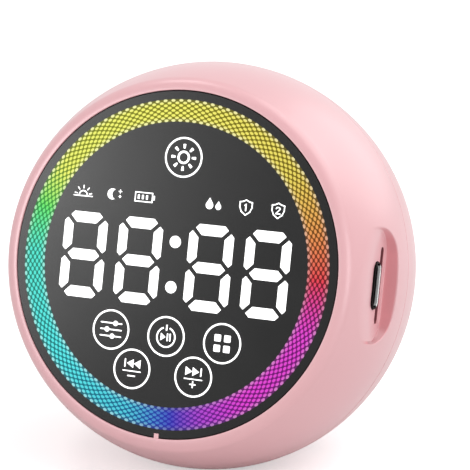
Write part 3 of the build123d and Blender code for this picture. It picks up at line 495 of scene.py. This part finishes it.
def softened(corners, radius, steps=4):
    """An outline with its corners rounded."""
    outline = []
    for before, corner, after in zip(corners[-1:] + corners[:-1], corners, corners[1:] + corners[:1]):
        corner = Vector(corner)
        back, ahead = (Vector(before) - corner).normalized(), (Vector(after) - corner).normalized()
        reach = radius * (1 + back.dot(ahead)) / max(sqrt(1 - back.dot(ahead) ** 2), 0.001)
        start, end = corner + back * reach, corner + ahead * reach
        for share in spread(0, 1, steps):
            outline.append(tuple(start.lerp(corner, share).lerp(corner.lerp(end, share), share)))
    return outline


def film_mesh(name, outlines):
    """A thin lit film on the panel's face, made of one slab for each outline."""
    points, faces = [], []
    for outline in outlines:
        more_points, more_faces = prism(outline, 0, film)
        faces += [tuple(index + len(points) for index in face) for face in more_faces]
        points += more_points
    return new_mesh(name, points, faces)


def lit(name, colour, strength):
    """A lit film: white light with a faint unevenness of the diffuser behind it."""
    material, tree, shader = new_finish(name, {"Roughness": 0.35, "Emission Strength": strength})
    place = add_node(tree, "ShaderNodeTexCoord").outputs["Object"]
    group = add_node(tree, "ShaderNodeGroup", node_tree=grain_group)
    tree.links.new(place, group.inputs["Vector"])
    group.inputs["Grain Size"].default_value = 0.0006
    group.inputs["Cloud Size"].default_value = 0.006
    cloud = group.outputs["Cloud"]
    dim = [part * 0.93 for part in colour[:3]] + [1]
    light = blend(tree, cloud, dim, colour)
    tree.links.new(light, shader.inputs["Base Color"])
    tree.links.new(light, shader.inputs["Emission Color"])
    return material


digit_width, digit_height = 9.36, 16.4
bar_thickness, bar_tip, bar_gap = 2.08, 0.76, 0.8
tip_x, tip_y = digit_width / 2 - bar_tip, digit_height / 2 - bar_tip
tip_step = bar_gap / sqrt(2)
lying, upright = tip_x - tip_step, tip_y / 2 - tip_step
inner_tip, half_tip = bar_thickness - bar_tip, bar_thickness / 2
thin_tip, inner_thin = 0.64, 1.24
bar_softness = 0.15
bars = []
for x, y, turn, half, outer, inner in (
    (0, tip_y, 0, lying, bar_tip, inner_tip),
    (0, 0, 0, lying, half_tip, half_tip),
    (0, -tip_y, 180, lying, bar_tip, inner_tip),
    (-tip_x, tip_y / 2, 90, upright, thin_tip, inner_thin),
    (-tip_x, -tip_y / 2, 90, upright, thin_tip, inner_thin),
    (tip_x, tip_y / 2, -90, upright, thin_tip, inner_thin),
    (tip_x, -tip_y / 2, -90, upright, thin_tip, inner_thin),
):
    bar = [(-half, 0), (inner - half, -inner), (half - inner, -inner), (half, 0)]
    bar += [(half - outer, outer), (outer - half, outer)]
    turned = Matrix.Rotation(radians(turn), 2)
    placed = [tuple(turned @ Vector(corner) + Vector((x, y))) for corner in bar]
    bars.append(softened(placed, bar_softness))
digit_bars = holder_of(film_mesh("digit_bars", bars))

lit_white = lit("lit_white", paint("ffffff"), 0.95)


def new_tree(name, sockets):
    """A geometry tree with named inputs, its output node, and the inputs' outlets by name."""
    tree = bpy.data.node_groups.new(name, "GeometryNodeTree")
    tree.interface.new_socket("Geometry", in_out="OUTPUT", socket_type="NodeSocketGeometry")
    for label, kind in sockets:
        tree.interface.new_socket(label, in_out="INPUT", socket_type=kind)
    return tree, add_node(tree, "NodeGroupOutput"), add_node(tree, "NodeGroupInput").outputs


def run_tree(name, tree, values):
    """A plain mesh in the display's own frame from a geometry tree and its inputs' values."""
    holder = holder_of(bpy.data.meshes.new(name))
    modifier = holder.modifiers.new(name, "NODES")
    modifier.node_group = tree
    for item in tree.interface.items_tree:
        if item.in_out == "INPUT":
            modifier[item.identifier] = values[item.name]
    mesh = evaluated(holder)
    mesh.transform(display_frame)
    return mesh


def finish_tree(tree, result, instances, material):
    """The end of each tree: real geometry with its material."""
    real = add_node(tree, "GeometryNodeRealizeInstances", {"Geometry": instances})
    inputs = {"Geometry": real.outputs[0], "Material": material}
    set_material = add_node(tree, "GeometryNodeSetMaterial", inputs)
    tree.links.new(set_material.outputs[0], result.inputs[0])


def step_of(tree, operation, first, second=0.0, third=0.0):
    """One step of a tree's arithmetic."""
    return add_node(tree, "ShaderNodeMath", {0: first, 1: second, 2: third}, operation=operation).outputs[0]


row_tree, result, given = new_tree("digits_in_a_row", (
    ("Digit", "NodeSocketObject"),
    ("Pair Spacing", "NodeSocketFloat"),
    ("Digit Spacing", "NodeSocketFloat"),
    ("Height", "NodeSocketFloat"),
    ("Material", "NodeSocketMaterial"),
))
index = add_node(row_tree, "GeometryNodeInputIndex").outputs[0]
side = step_of(row_tree, "GREATER_THAN", index, 1.5)
sign = step_of(row_tree, "MULTIPLY_ADD", side, 2.0, -1.0)
far = step_of(row_tree, "MODULO", index, 2.0)
half_pair = step_of(row_tree, "MULTIPLY", given["Pair Spacing"], 0.5)
reach = step_of(row_tree, "MULTIPLY_ADD", far, given["Digit Spacing"], half_pair)
across = step_of(row_tree, "MULTIPLY", reach, sign)
place = add_node(row_tree, "ShaderNodeCombineXYZ", {"X": across, "Z": given["Height"]}).outputs[0]
marks = add_node(row_tree, "GeometryNodePoints", {"Count": 4, "Position": place}).outputs[0]
digit = add_node(row_tree, "GeometryNodeObjectInfo", {"Object": given["Digit"]}).outputs["Geometry"]
copies = add_node(row_tree, "GeometryNodeInstanceOnPoints", {"Points": marks, "Instance": digit}).outputs[0]
finish_tree(row_tree, result, copies, given["Material"])
digits = run_tree("lit_digits", row_tree, {
    "Digit": digit_bars,
    "Pair Spacing": 14.56,
    "Digit Spacing": 11.56,
    "Height": panel_face,
    "Material": lit_white,
})
discard(digit_bars)
add_piece(digits, lit_white, "white_segment")

colon_radius, colon_height = 1.15, 4.3
colon = film_mesh("lit_colon", [circle(0, y, colon_radius, 48) for y in (colon_height, -colon_height)])
colon.transform(display_frame @ Matrix.Translation((0, 0, panel_face)))
add_piece(colon, lit_white, "white_segment")
dress(moulded("segment_white", paint("f4f4f2"), 0.45), "digit_segments", "legend_lights")
dress(moulded("housing_black", paint("1b1b1c"), 0.6, grain=0.0002), "digit_housing", "board_header")

# TOUCH KEYS
# Six touch fields, each marked by a lit circle in the panel. Behind each, a foam sleeve keeps the light
# of its small lamp together. The circles are one ring set at the six places.

circle_inner, circle_outer = 3.5, 3.84
key_places = [(0, 20.33), (-11.5, -13.65), (0, -13.65), (11.5, -13.65), (-6.36, -20.59), (6.36, -20.59)]


def annulus(inner, outer, low, high, steps):
    """Points and faces of a flat ring."""
    points = []
    for z in (low, high):
        for radius in (inner, outer):
            points += [(x, y, z) for x, y in circle(0, 0, radius, steps)]
    low_in, low_out, high_in, high_out = (level * steps for level in range(4))
    faces = []
    for i in range(steps):
        j = (i + 1) % steps
        faces.append((high_in + i, high_out + i, high_out + j, high_in + j))
        faces.append((low_out + i, low_in + i, low_in + j, low_out + j))
        faces.append((low_out + i, low_out + j, high_out + j, high_out + i))
        faces.append((low_in + j, low_in + i, high_in + i, high_in + j))
    return points, faces


key_circle = holder_of(new_mesh("key_circle", *annulus(circle_inner, circle_outer, 0, film, 72)))
key_marks = holder_of(new_mesh("key_marks", [(x, y, panel_face) for x, y in key_places], []))
key_tree, result, given = new_tree("circles_on_keys", (
    ("Circle", "NodeSocketObject"),
    ("Places", "NodeSocketObject"),
    ("Material", "NodeSocketMaterial"),
))
ring = add_node(key_tree, "GeometryNodeObjectInfo", {"Object": given["Circle"]}).outputs["Geometry"]
marks = add_node(key_tree, "GeometryNodeObjectInfo", {"Object": given["Places"]}).outputs["Geometry"]
copies = add_node(key_tree, "GeometryNodeInstanceOnPoints", {"Points": marks, "Instance": ring}).outputs[0]
finish_tree(key_tree, result, copies, given["Material"])
circles = run_tree("lit_key_circles", key_tree, {
    "Circle": key_circle,
    "Places": key_marks,
    "Material": lit_white,
})
discard(key_circle)
discard(key_marks)
add_piece(circles, lit_white, "white_segment")
foam_dark = moulded("foam_dark", paint("2a2a2b"), 0.95, grain=0.0004, depth=0.00008)
dress(foam_dark, "touch_sleeves", "battery_tape", "speaker_gasket")

# KEY SIGNS AND STATUS SIGNS
# Plain pictograms lit white in the panel, all in one thin film: a sun, sliders, on and off, a grid, steps
# back and forwards, and above the digits a sunrise, a moon, a battery, drops and two numbered badges.


def stroke(width, *corners):
    """Outlines of a line with round ends through some corners."""
    outlines = []
    for start, end in zip(corners, corners[1:]):
        way = atan2(end[1] - start[1], end[0] - start[0]) * 180 / pi
        end_cap = arc(*end, width / 2, way - 90, way + 90, 6)
        start_cap = arc(*start, width / 2, way + 90, way + 270, 7)
        outlines.append(end_cap + start_cap)
    return outlines


def plus(x, y, reach, width):
    """Outlines of a plus."""
    upright_line = stroke(width, (x, y - reach), (x, y + reach))
    return upright_line + stroke(width, (x - reach, y), (x + reach, y))


def bow(x, y, radius, width, start, end):
    """Outline of a curved line."""
    return [arc(x, y, radius + width / 2, start, end, 32) + arc(x, y, radius - width / 2, end, start, 32)]


def disc(x, y, radius):
    """Outline of a filled circle."""
    return [circle(x, y, radius, 32)]


def moved(x, y, outlines):
    """Outlines set at a place."""
    return [[(px + x, py + y) for px, py in outline] for outline in outlines]


sun_radius, sun_width = 1.06, 0.42
sun = bow(0, 0, sun_radius, sun_width, -3, 183) + bow(0, 0, sun_radius, sun_width, 177, 363)
ray = [(1.66, -0.18), (2.55, -0.3), (2.55, 0.3), (1.66, 0.18)]
for angle in range(0, 360, 45):
    turned = Matrix.Rotation(radians(angle), 2)
    sun.append(softened([tuple(turned @ Vector(corner)) for corner in ray], 0.15))

slider_half, slider_width, knob_radius = 2.15, 0.26, 0.5
sliders = []
for y, knob in ((1.25, 0.85), (0, -0.85), (-1.25, 0.35)):
    sliders += stroke(slider_width, (-slider_half, y), (slider_half, y)) + disc(knob, y, knob_radius)

power_ring = (0, -0.15, 1.85, 0.3)
power = bow(*power_ring, 109, 272) + bow(*power_ring, 268, 431) + stroke(0.32, (0, 2.1), (0, 1.22))
power.append(softened([(-1.1, -0.88), (-0.06, -0.12), (-1.1, 0.64)], 0.1))
for x in (0.3, 0.84):
    power += stroke(0.28, (x, -0.74), (x, 0.5))

grid_step, grid_half = 0.98, 0.66
grid = []
for x in (-grid_step, grid_step):
    for y in (-grid_step, grid_step):
        corners = rectangle(x - grid_half, y - grid_half, x + grid_half, y + grid_half)
        grid.append(softened(corners, 0.2))

forwards = stroke(0.22, (-1.8, -0.42), (1.8, -0.42)) + stroke(0.28, (1.5, 0.36), (1.5, 1.72))
for x in (-1.7, -0.25):
    forwards.append(softened([(x, 0.18), (x + 1.38, 1.03), (x, 1.88)], 0.08))
back = [[(-x, y) for x, y in outline][::-1] for outline in forwards]
forwards += plus(0, -1.42, 0.55, 0.24)
back += stroke(0.26, (-0.7, -1.34), (0.7, -1.34))

ray_drop = -0.7
sunrise = stroke(0.22, (-1.95, -0.9), (1.95, -0.9)) + bow(0, -0.78, 0.85, 0.24, 0, 180)
for angle in (10, 50, 90, 130, 170):
    near_end, far_end = (arc(0, ray_drop, reach, angle, angle, 1)[0] for reach in (1.3, 1.78))
    sunrise += stroke(0.22, near_end, far_end)

moon_half, moon_out, moon_in = 0.9, 0.55, 0.35
outer_tip = atan2(moon_half, moon_out) * 180 / pi
hollow_tip = atan2(moon_half, -moon_in) * 180 / pi
moon_back = arc(-0.35, 0, hypot(moon_half, moon_out), outer_tip, 360 - outer_tip, 28)
moon_hollow = arc(0.55, 0, hypot(moon_half, moon_in), 360 - hollow_tip, hollow_tip, 24)
moon = [moon_back + moon_hollow[1:-1]] + plus(1.25, 0.62, 0.3, 0.18) + plus(1.25, -0.35, 0.2, 0.18)

case_line = rectangle(-1.95, -0.86, 1.6, 0.86)
battery = stroke(0.22, *case_line, case_line[0]) + stroke(0.36, (1.95, -0.28), (1.95, 0.28))
for x in (-1.24, -0.38, 0.48):
    battery.append(softened(rectangle(x - 0.2, -0.42, x + 0.2, 0.42), 0.06))

drops = []
for x, y, size in ((-0.85, 0, 0.92), (0.95, -0.22, 0.7)):
    drops.append([(x, y + 1.3 * size)] + arc(x, y - 0.25 * size, 0.82 * size, 155, 385, 24))

badge_line = [(0, 1.42), (0.62, 1.12), (1.22, 1.0), (1.22, 0.05), (0.85, -0.78), (0, -1.4)]
badge_line += [(-x, y) for x, y in badge_line[-2:0:-1]] + badge_line[:1]
badge = stroke(0.22, *badge_line)
one = stroke(0.26, (0, -0.55), (0, 0.6)) + stroke(0.2, (0, 0.6), (-0.26, 0.38))
two = stroke(0.2, (-0.42, 0.38), (-0.2, 0.62), (0.2, 0.62), (0.42, 0.36), (-0.42, -0.55), (0.45, -0.55))

status_height = 12.1
signs = []
for (x, y), sign in zip(key_places, (sun, sliders, power, grid, back, forwards)):
    signs += moved(x, y, sign)
for x, sign in (
    (-20.1, sunrise),
    (-13.6, moon),
    (-7.2, battery),
    (7.05, drops),
    (13.55, badge + one),
    (20.0, badge + two),
):
    signs += moved(x, status_height, sign)
sign_mesh = film_mesh("lit_signs", signs)
sign_mesh.transform(display_frame @ Matrix.Translation((0, 0, panel_face)))
add_piece(sign_mesh, lit_white, "white_segment")

# LIGHT RING
# A milky ring lights up in rainbow colours behind a fine diamond mesh printed on the panel. It shows as
# rows of small bright dots on a ground of the same colours, only deeper. The dots are paler along both
# edges.

ring_inner, ring_outer = 27.01, 31.26
edge_start, edge_end = 0.0012, 0.0021
dot_half, dot_shoulder, dot_half_width = 0.46, 0.23, 0.25
rainbow = (
    (-180, "3ce8d0"), (-140, "44e8e8"), (-104, "38c8dc"), (-85, "2434bc"), (-73, "a828cc"),
    (-55, "e020d0"), (-20, "e028cc"), (-6, "e02480"), (0, "e8243c"), (15, "e8883c"),
    (40, "e8d44c"), (90, "f4f060"), (148, "ecf45c"), (163, "5ce860"), (180, "3ce8d0"),
)
deep_rainbow = (
    (-180, "14846c"), (-140, "0c7a7c"), (-112, "0a6c88"), (-100, "0c5c90"), (-92, "1c3ca4"), (-85, "2822a8"),
    (-72, "681490"), (-55, "700874"), (-20, "70086c"), (-6, "6c0c38"), (0, "700c1c"), (15, "703c10"),
    (40, "74640c"), (90, "7c7808"), (142, "7c8810"), (163, "209838"), (180, "14846c"),
)


def display_parts(tree, place):
    """A place's parts along the display's own axes."""
    turned = add_node(tree, "ShaderNodeMapping", {"Vector": place}, vector_type="TEXTURE")
    turned.inputs["Location"].default_value = display_frame.to_translation()
    turned.inputs["Rotation"].default_value = lean_frame.to_euler()
    return add_node(tree, "ShaderNodeSeparateXYZ", {0: turned.outputs[0]}).outputs


ring_group = bpy.data.node_groups.new("rainbow_round_the_ring", "ShaderNodeTree")
ring_group.interface.new_socket("Vector", in_out="INPUT", socket_type="NodeSocketVector")
ring_group.interface.new_socket("Colour", in_out="OUTPUT", socket_type="NodeSocketColor")
ring_group.interface.new_socket("Ground", in_out="OUTPUT", socket_type="NodeSocketColor")
ring_group.interface.new_socket("Rim", in_out="OUTPUT", socket_type="NodeSocketFloat")
ring_group.interface.new_socket("Edge", in_out="OUTPUT", socket_type="NodeSocketFloat")
group_in = add_node(ring_group, "NodeGroupInput")
group_out = add_node(ring_group, "NodeGroupOutput")
parts = display_parts(ring_group, group_in.outputs[0])
angle = step_of(ring_group, "ARCTAN2", parts[1], parts[0])
full_turn = {"Value": angle, "From Min": -pi, "From Max": pi}
share = add_node(ring_group, "ShaderNodeMapRange", full_turn).outputs["Result"]
for output, round_stops in (("Colour", rainbow), ("Ground", deep_rainbow)):
    ramp = add_node(ring_group, "ShaderNodeValToRGB", {"Fac": share})
    stops = ramp.color_ramp.elements
    stops.remove(stops[1])
    for place, colour in round_stops:
        stop = stops.new((place + 180) / 360) if place > -180 else stops[0]
        stop.color = paint(colour)
    ring_group.links.new(ramp.outputs["Color"], group_out.inputs[output])
dot_colour = group_out.inputs["Colour"].links[0].from_socket
brightness = add_node(ring_group, "ShaderNodeRGBToBW", {0: dot_colour}).outputs[0]
ring_group.links.new(step_of(ring_group, "POWER", brightness, 0.5), group_out.inputs["Rim"])
flat_place = add_node(ring_group, "ShaderNodeCombineXYZ", {"X": parts[0], "Y": parts[1]}).outputs[0]
reach = add_node(ring_group, "ShaderNodeVectorMath", {0: flat_place}, operation="LENGTH").outputs["Value"]
ring_middle = (ring_inner + ring_outer) / 2000
off_middle = step_of(ring_group, "ABSOLUTE", step_of(ring_group, "SUBTRACT", reach, ring_middle))
edge_ends = {"Value": off_middle, "From Min": edge_start, "From Max": edge_end}
edge = add_node(ring_group, "ShaderNodeMapRange", edge_ends).outputs["Result"]
ring_group.links.new(edge, group_out.inputs["Edge"])


def rainbow_finish(name, source, lift, rim=None):
    """A lit finish in the ring's colours, mixed with white and, along the edges, with a rim colour."""
    values = {"Roughness": 0.22, "Specular IOR Level": 0.05, "Emission Strength": 1.0}
    material, tree, shader = new_finish(name, values)
    place = add_node(tree, "ShaderNodeTexCoord").outputs["Object"]
    group = add_node(tree, "ShaderNodeGroup", node_tree=ring_group)
    tree.links.new(place, group.inputs["Vector"])
    colour = blend(tree, lift, group.outputs[source], (1, 1, 1, 1))
    edge_share = between(tree, group.outputs["Edge"], 0.0, 0.4)
    colour = blend(tree, edge_share, colour, rim or group.outputs["Rim"])
    tree.links.new(colour, shader.inputs["Emission Color"])
    shader.inputs["Base Color"].default_value = (0.008, 0.008, 0.008, 1)
    return material


ground = new_mesh("ring_ground", *annulus(ring_inner, ring_outer, panel_face, panel_face + film / 3, 240))
ground.transform(display_frame)
add_piece(ground, rainbow_finish("ring_ground", "Ground", 0.0, (0.03, 0.03, 0.03, 1)), "milky_diffuser")

dot = [(dot_half_width, -dot_shoulder), (dot_half_width, dot_shoulder), (0, dot_half)]
dot += [(-x, -y) for x, y in dot]
dot_holder = holder_of(film_mesh("ring_dot", [dot]))
dots_tree, result, given = new_tree("rows_of_dots", (
    ("Dot", "NodeSocketObject"),
    ("Rows", "NodeSocketInt"),
    ("Dots in a Row", "NodeSocketInt"),
    ("Inner Radius", "NodeSocketFloat"),
    ("Outer Radius", "NodeSocketFloat"),
    ("Height", "NodeSocketFloat"),
    ("Material", "NodeSocketMaterial"),
))
index = add_node(dots_tree, "GeometryNodeInputIndex").outputs[0]
row = step_of(dots_tree, "FLOOR", step_of(dots_tree, "DIVIDE", index, given["Dots in a Row"]))
column = step_of(dots_tree, "MODULO", index, given["Dots in a Row"])
shift = step_of(dots_tree, "MULTIPLY", step_of(dots_tree, "MODULO", row, 2.0), 0.5)
shifted = step_of(dots_tree, "ADD", column, shift)
turn = step_of(dots_tree, "MULTIPLY", step_of(dots_tree, "DIVIDE", shifted, given["Dots in a Row"]), 2 * pi)
breadth = step_of(dots_tree, "SUBTRACT", given["Outer Radius"], given["Inner Radius"])
depth = step_of(dots_tree, "DIVIDE", breadth, given["Rows"])
reach = step_of(dots_tree, "MULTIPLY_ADD", step_of(dots_tree, "ADD", row, 0.5), depth, given["Inner Radius"])
place = add_node(dots_tree, "ShaderNodeCombineXYZ", {
    "X": step_of(dots_tree, "MULTIPLY", reach, step_of(dots_tree, "COSINE", turn)),
    "Y": step_of(dots_tree, "MULTIPLY", reach, step_of(dots_tree, "SINE", turn)),
    "Z": given["Height"],
}).outputs[0]
total = step_of(dots_tree, "MULTIPLY", given["Rows"], given["Dots in a Row"])
marks = add_node(dots_tree, "GeometryNodePoints", {"Count": total, "Position": place}).outputs[0]
facing = add_node(dots_tree, "ShaderNodeCombineXYZ", {"Z": turn}).outputs[0]
dot_shape = add_node(dots_tree, "GeometryNodeObjectInfo", {"Object": given["Dot"]}).outputs["Geometry"]
spots = {"Points": marks, "Instance": dot_shape, "Rotation": facing}
copies = add_node(dots_tree, "GeometryNodeInstanceOnPoints", spots).outputs[0]
finish_tree(dots_tree, result, copies, given["Material"])
dot_light = rainbow_finish("ring_dots", "Colour", 0.035)
dots = run_tree("ring_dots", dots_tree, {
    "Dot": dot_holder,
    "Rows": 9,
    "Dots in a Row": 120,
    "Inner Radius": ring_inner,
    "Outer Radius": ring_outer,
    "Height": panel_face,
    "Material": dot_light,
})
discard(dot_holder)
add_piece(dots, dot_light, "milky_diffuser")
dress(moulded("diffuser_milky", paint("f2f2ee"), 0.5), "light_ring")
dress(moulded("reflector_white", paint("f5f5f3"), 0.55), "light_well")
dress(moulded("lamp_cream", paint("f3ecc6"), 0.4, grain=0.0002), "ring_leds", "key_leds")

# BOARDS
# Two glass-fibre boards with green solder resist over copper tracks. The front one carries the lamps, the
# rear one the chips, the sockets and the plugs, and small steel screws hold both on posts.

board_green, tree, shader = new_finish("board_green", {"Specular IOR Level": 0.5})
place = add_node(tree, "ShaderNodeTexCoord").outputs["Object"]
tracks = add_node(tree, "ShaderNodeTexBrick", {
    "Vector": place,
    "Scale": 260.0,
    "Mortar Size": 0.09,
    "Bias": -0.2,
    "Color1": paint("0c4a2c"),
    "Color2": paint("0e5232"),
    "Mortar": paint("1f7a4c"),
})
tree.links.new(tracks.outputs["Color"], shader.inputs["Base Color"])
tree.links.new(between(tree, tracks.outputs["Fac"], 0.35, 0.5), shader.inputs["Roughness"])
dress(board_green, "led_board", "main_board")
dress(moulded("chip_black", paint("202022"), 0.5, grain=0.00015), "board_chips")
dress(moulded("connector_ivory", paint("efe9d2"), 0.4), "board_connectors")

brush_group = bpy.data.node_groups.new("wire_brush", "ShaderNodeTree")
brush_group.interface.new_socket("Vector", in_out="INPUT", socket_type="NodeSocketVector")
brush_group.interface.new_socket("Stretch", in_out="INPUT", socket_type="NodeSocketVector")
brush_group.interface.new_socket("Streak", in_out="OUTPUT", socket_type="NodeSocketFloat")
group_in = add_node(brush_group, "NodeGroupInput")
group_out = add_node(brush_group, "NodeGroupOutput")
both = {0: group_in.outputs["Vector"], 1: group_in.outputs["Stretch"]}
stretched = add_node(brush_group, "ShaderNodeVectorMath", both, operation="MULTIPLY").outputs[0]
streaks = add_node(brush_group, "ShaderNodeTexNoise", {"Vector": stretched, "Scale": 1.0, "Detail": 3.0})
brush_group.links.new(streaks.outputs["Fac"], group_out.inputs["Streak"])


def rolled(name, colour, roughness, stretch):
    """A rolled or turned metal with fine streaks in its colour and gloss."""
    material, tree, shader = new_finish(name, {"Metallic": 1.0})
    place = add_node(tree, "ShaderNodeTexCoord").outputs["Object"]
    group = add_node(tree, "ShaderNodeGroup", node_tree=brush_group)
    tree.links.new(place, group.inputs["Vector"])
    group.inputs["Stretch"].default_value = stretch
    streak = group.outputs["Streak"]
    dark = [part * 0.86 for part in colour[:3]] + [1]
    tree.links.new(blend(tree, streak, dark, colour), shader.inputs["Base Color"])
    tree.links.new(between(tree, streak, roughness - 0.08, roughness + 0.1), shader.inputs["Roughness"])
    return material


screw_steel = rolled("screw_steel", paint("b9b9bb"), 0.35, (4000, 4000, 900))
dress(screw_steel, "led_board_screws", "main_board_screws", "case_screws", "speaker_screws")

# SOCKETS
# The charging socket is a drawn steel sleeve round a black moulded tongue, a little proud of the pocket's
# floor. Its front side and its inside are painted near-black as shade, and its rear side is a pale, partly
# diffuse steel that stands in for a painted reflection. The card socket is a folded steel box soldered to
# the rear board.

# Ends of the painted shade on the sleeve: it turns near-black towards its front side and inside its mouth.
dark_front, bright_rear = 0.0087, 0.00845
dark_inside, bright_end = 0.0367, 0.0369
socket_steel = rolled("socket_steel", paint("f6f6f6"), 0.3, (300, 5000, 5000))
tree = socket_steel.node_tree
shader = tree.nodes["Principled BSDF"]
steel_colour = shader.inputs["Base Color"].links[0].from_socket
place = add_node(tree, "ShaderNodeTexCoord").outputs["Object"]
parts = display_parts(tree, place)
front_ends = {"Value": parts[2], "From Min": bright_rear, "From Max": dark_front}
front = add_node(tree, "ShaderNodeMapRange", front_ends).outputs["Result"]
deep_ends = {"Value": parts[0], "From Min": bright_end, "From Max": dark_inside}
deep = add_node(tree, "ShaderNodeMapRange", deep_ends).outputs["Result"]
painted_socket_shade = step_of(tree, "MAXIMUM", front, deep)
# A pale, partly diffuse steel on the rear side stands in for a painted reflection.
shader.inputs["Metallic"].default_value = 0.4
shader.inputs["Specular IOR Level"].default_value = 0.1
# Where the masks reach, the steel is painted near-black as shade.
tree.links.new(blend(tree, painted_socket_shade, steel_colour, paint("0a0909")), shader.inputs["Base Color"])
dress(socket_steel, "usb_shell")
dress(rolled("card_tin", paint("6c6a6a"), 0.45, (300, 5000, 5000)), "card_socket")
no_shine = {"Specular IOR Level": 0.0}
dress(moulded("socket_black", paint("060606"), 0.6, grain=0.0002, values=no_shine), "usb_core")

# BATTERY
# A pouch cell in aluminium laminate with a soft sheen. It is taped to the rear board, and a red lead runs
# to its plug.

dress(rolled("pouch_foil", paint("c9ccd0"), 0.42, (700, 700, 700)), "battery")
dress(moulded("lead_red", paint("b3231f"), 0.4, grain=0.0002), "battery_lead", "speaker_lead")

# LOUDSPEAKER
# A pressed steel frame in black paint, screwed to the rear half, a ferrite ring between two steel plates,
# a copper coil, and a paper cone with a rubber surround and a resin cloth that centres it. The grille
# hides it.

dress(moulded("frame_black", paint("1a1a1b"), 0.35, grain=0.0006), "speaker_frame")
dress(rolled("plate_steel", paint("b4b5b8"), 0.3, (2500, 2500, 2500)), "speaker_top_plate", "speaker_yoke")
ferrite_grey = moulded("ferrite_grey", paint("3a3a3d"), 0.7, grain=0.0005, depth=0.00003, tone=0.12)
dress(ferrite_grey, "speaker_magnet")
dress(rolled("coil_copper", paint("c9793d"), 0.32, (100, 6000, 6000)), "speaker_coil")
cone_paper = moulded("cone_paper", paint("252526"), 0.9, grain=0.0006, depth=0.00006, tone=0.15)
dress(cone_paper, "speaker_cone", "speaker_dust_cap")
dress(moulded("surround_rubber", paint("161616"), 0.6), "speaker_surround")
spider_cloth, tree, shader = new_finish("spider_cloth", {"Roughness": 0.9})
place = add_node(tree, "ShaderNodeTexCoord").outputs["Object"]
weave = add_node(tree, "ShaderNodeTexChecker", {"Vector": place, "Scale": 2600.0}).outputs["Fac"]
tree.links.new(blend(tree, weave, paint("a9803f"), paint("c49a55")), shader.inputs["Base Color"])
dress(spider_cloth, "speaker_spider")

# REAR HALF OF THE CASE
# The other half of the ball, in the same pink, with a perforated cap over the loudspeaker and four deep
# holes that lead to the case screws. A lip inside the seam centres the two halves.

dress(case_pink, "rear_shell", "speaker_grille")

# FOOT
# A round pad of grey silicone, pressed into the flat under the ball. Its tight seat holds it, and it
# keeps the clock from rolling and sliding.

dress(moulded("foot_grey", paint("d2c8c8"), 0.7, grain=0.0004, depth=0.00003), "foot_pad")

# FLOOR, LIGHT AND CAMERA
# A pale floor that runs out to white. A large soft lamp hangs above on the right and a small one above on
# the left, one stands behind, one in front on the left and one low on the right. A long lens looks a
# little down.

floor_half = 3
floor_corners = rectangle(-floor_half, -floor_half, floor_half, floor_half)
floor_mesh = new_mesh("floor", [(x, y, 0) for x, y in floor_corners], [(0, 1, 2, 3)])
floor = holder_of(floor_mesh)
floor_white, tree, shader = new_finish("floor_white", {"Roughness": 0.8, "Specular IOR Level": 0.2})
shader.inputs["Base Color"].default_value = (0.8, 0.8, 0.8, 1)
seen = add_node(tree, "ShaderNodeLightPath").outputs["Is Camera Ray"]
shader.inputs["Emission Color"].default_value = (1, 1, 1, 1)
tree.links.new(between(tree, seen, 0.0, 0.45), shader.inputs["Emission Strength"])
floor_mesh.materials.append(floor_white)

world = bpy.data.worlds.new("studio")
bpy.context.scene.world = world
world.use_nodes = True
sky = world.node_tree.nodes["Background"]
rays = add_node(world.node_tree, "ShaderNodeLightPath").outputs
seen_or_mirrored = step_of(world.node_tree, "MAXIMUM", rays["Is Camera Ray"], rays["Is Glossy Ray"])
world.node_tree.links.new(between(world.node_tree, seen_or_mirrored, 0.57, 1.0), sky.inputs["Strength"])
sky.inputs["Color"].default_value = (1, 1, 1, 1)

target = Vector((0, -0.002, 0.038))
for name, spot, size, power in (
    ("key_lamp", (0.5, 0.1, 0.95), 1.1, 5.0),
    ("top_lamp", (-0.38, -0.08, 0.9), 0.22, 0.9),
    ("back_lamp", (0.5, 0.8, 0.55), 0.9, 2.0),
    ("fill_lamp", (-0.56, -0.82, 0.29), 0.3, 2.1),
    ("low_lamp", (0.8, -0.5, 0.24), 0.5, 1.6),
):
    lamp = bpy.data.lights.new(name, "AREA")
    lamp.shape = "DISK"
    lamp.size = size
    lamp.energy = power
    lamp_holder = bpy.data.objects.new(name, lamp)
    lamp_holder.location = spot
    lamp_holder.rotation_euler = (target - Vector(spot)).to_track_quat("-Z", "Y").to_euler()
    bpy.context.scene.collection.objects.link(lamp_holder)

camera = bpy.data.cameras.new("camera")
camera.lens = 169.54
camera.sensor_width = 36.0
camera.clip_start = 0.01
side_angle, down_angle = radians(22.529), radians(15.094)
behind = Vector((sin(side_angle) * cos(down_angle), -cos(side_angle) * cos(down_angle), sin(down_angle)))
right = Vector((cos(side_angle), sin(side_angle), 0))
up = behind.cross(right)
camera_from_ball = Vector((0.164791, -0.385607, 0.119232))
camera_holder = bpy.data.objects.new("camera", camera)
camera_holder.matrix_world = Matrix((right, up, behind)).transposed().to_4x4()
camera_holder.location = camera_from_ball + display_frame.to_translation()
bpy.context.scene.collection.objects.link(camera_holder)
bpy.context.scene.camera = camera_holder
bpy.context.scene.view_settings.view_transform = "Standard"
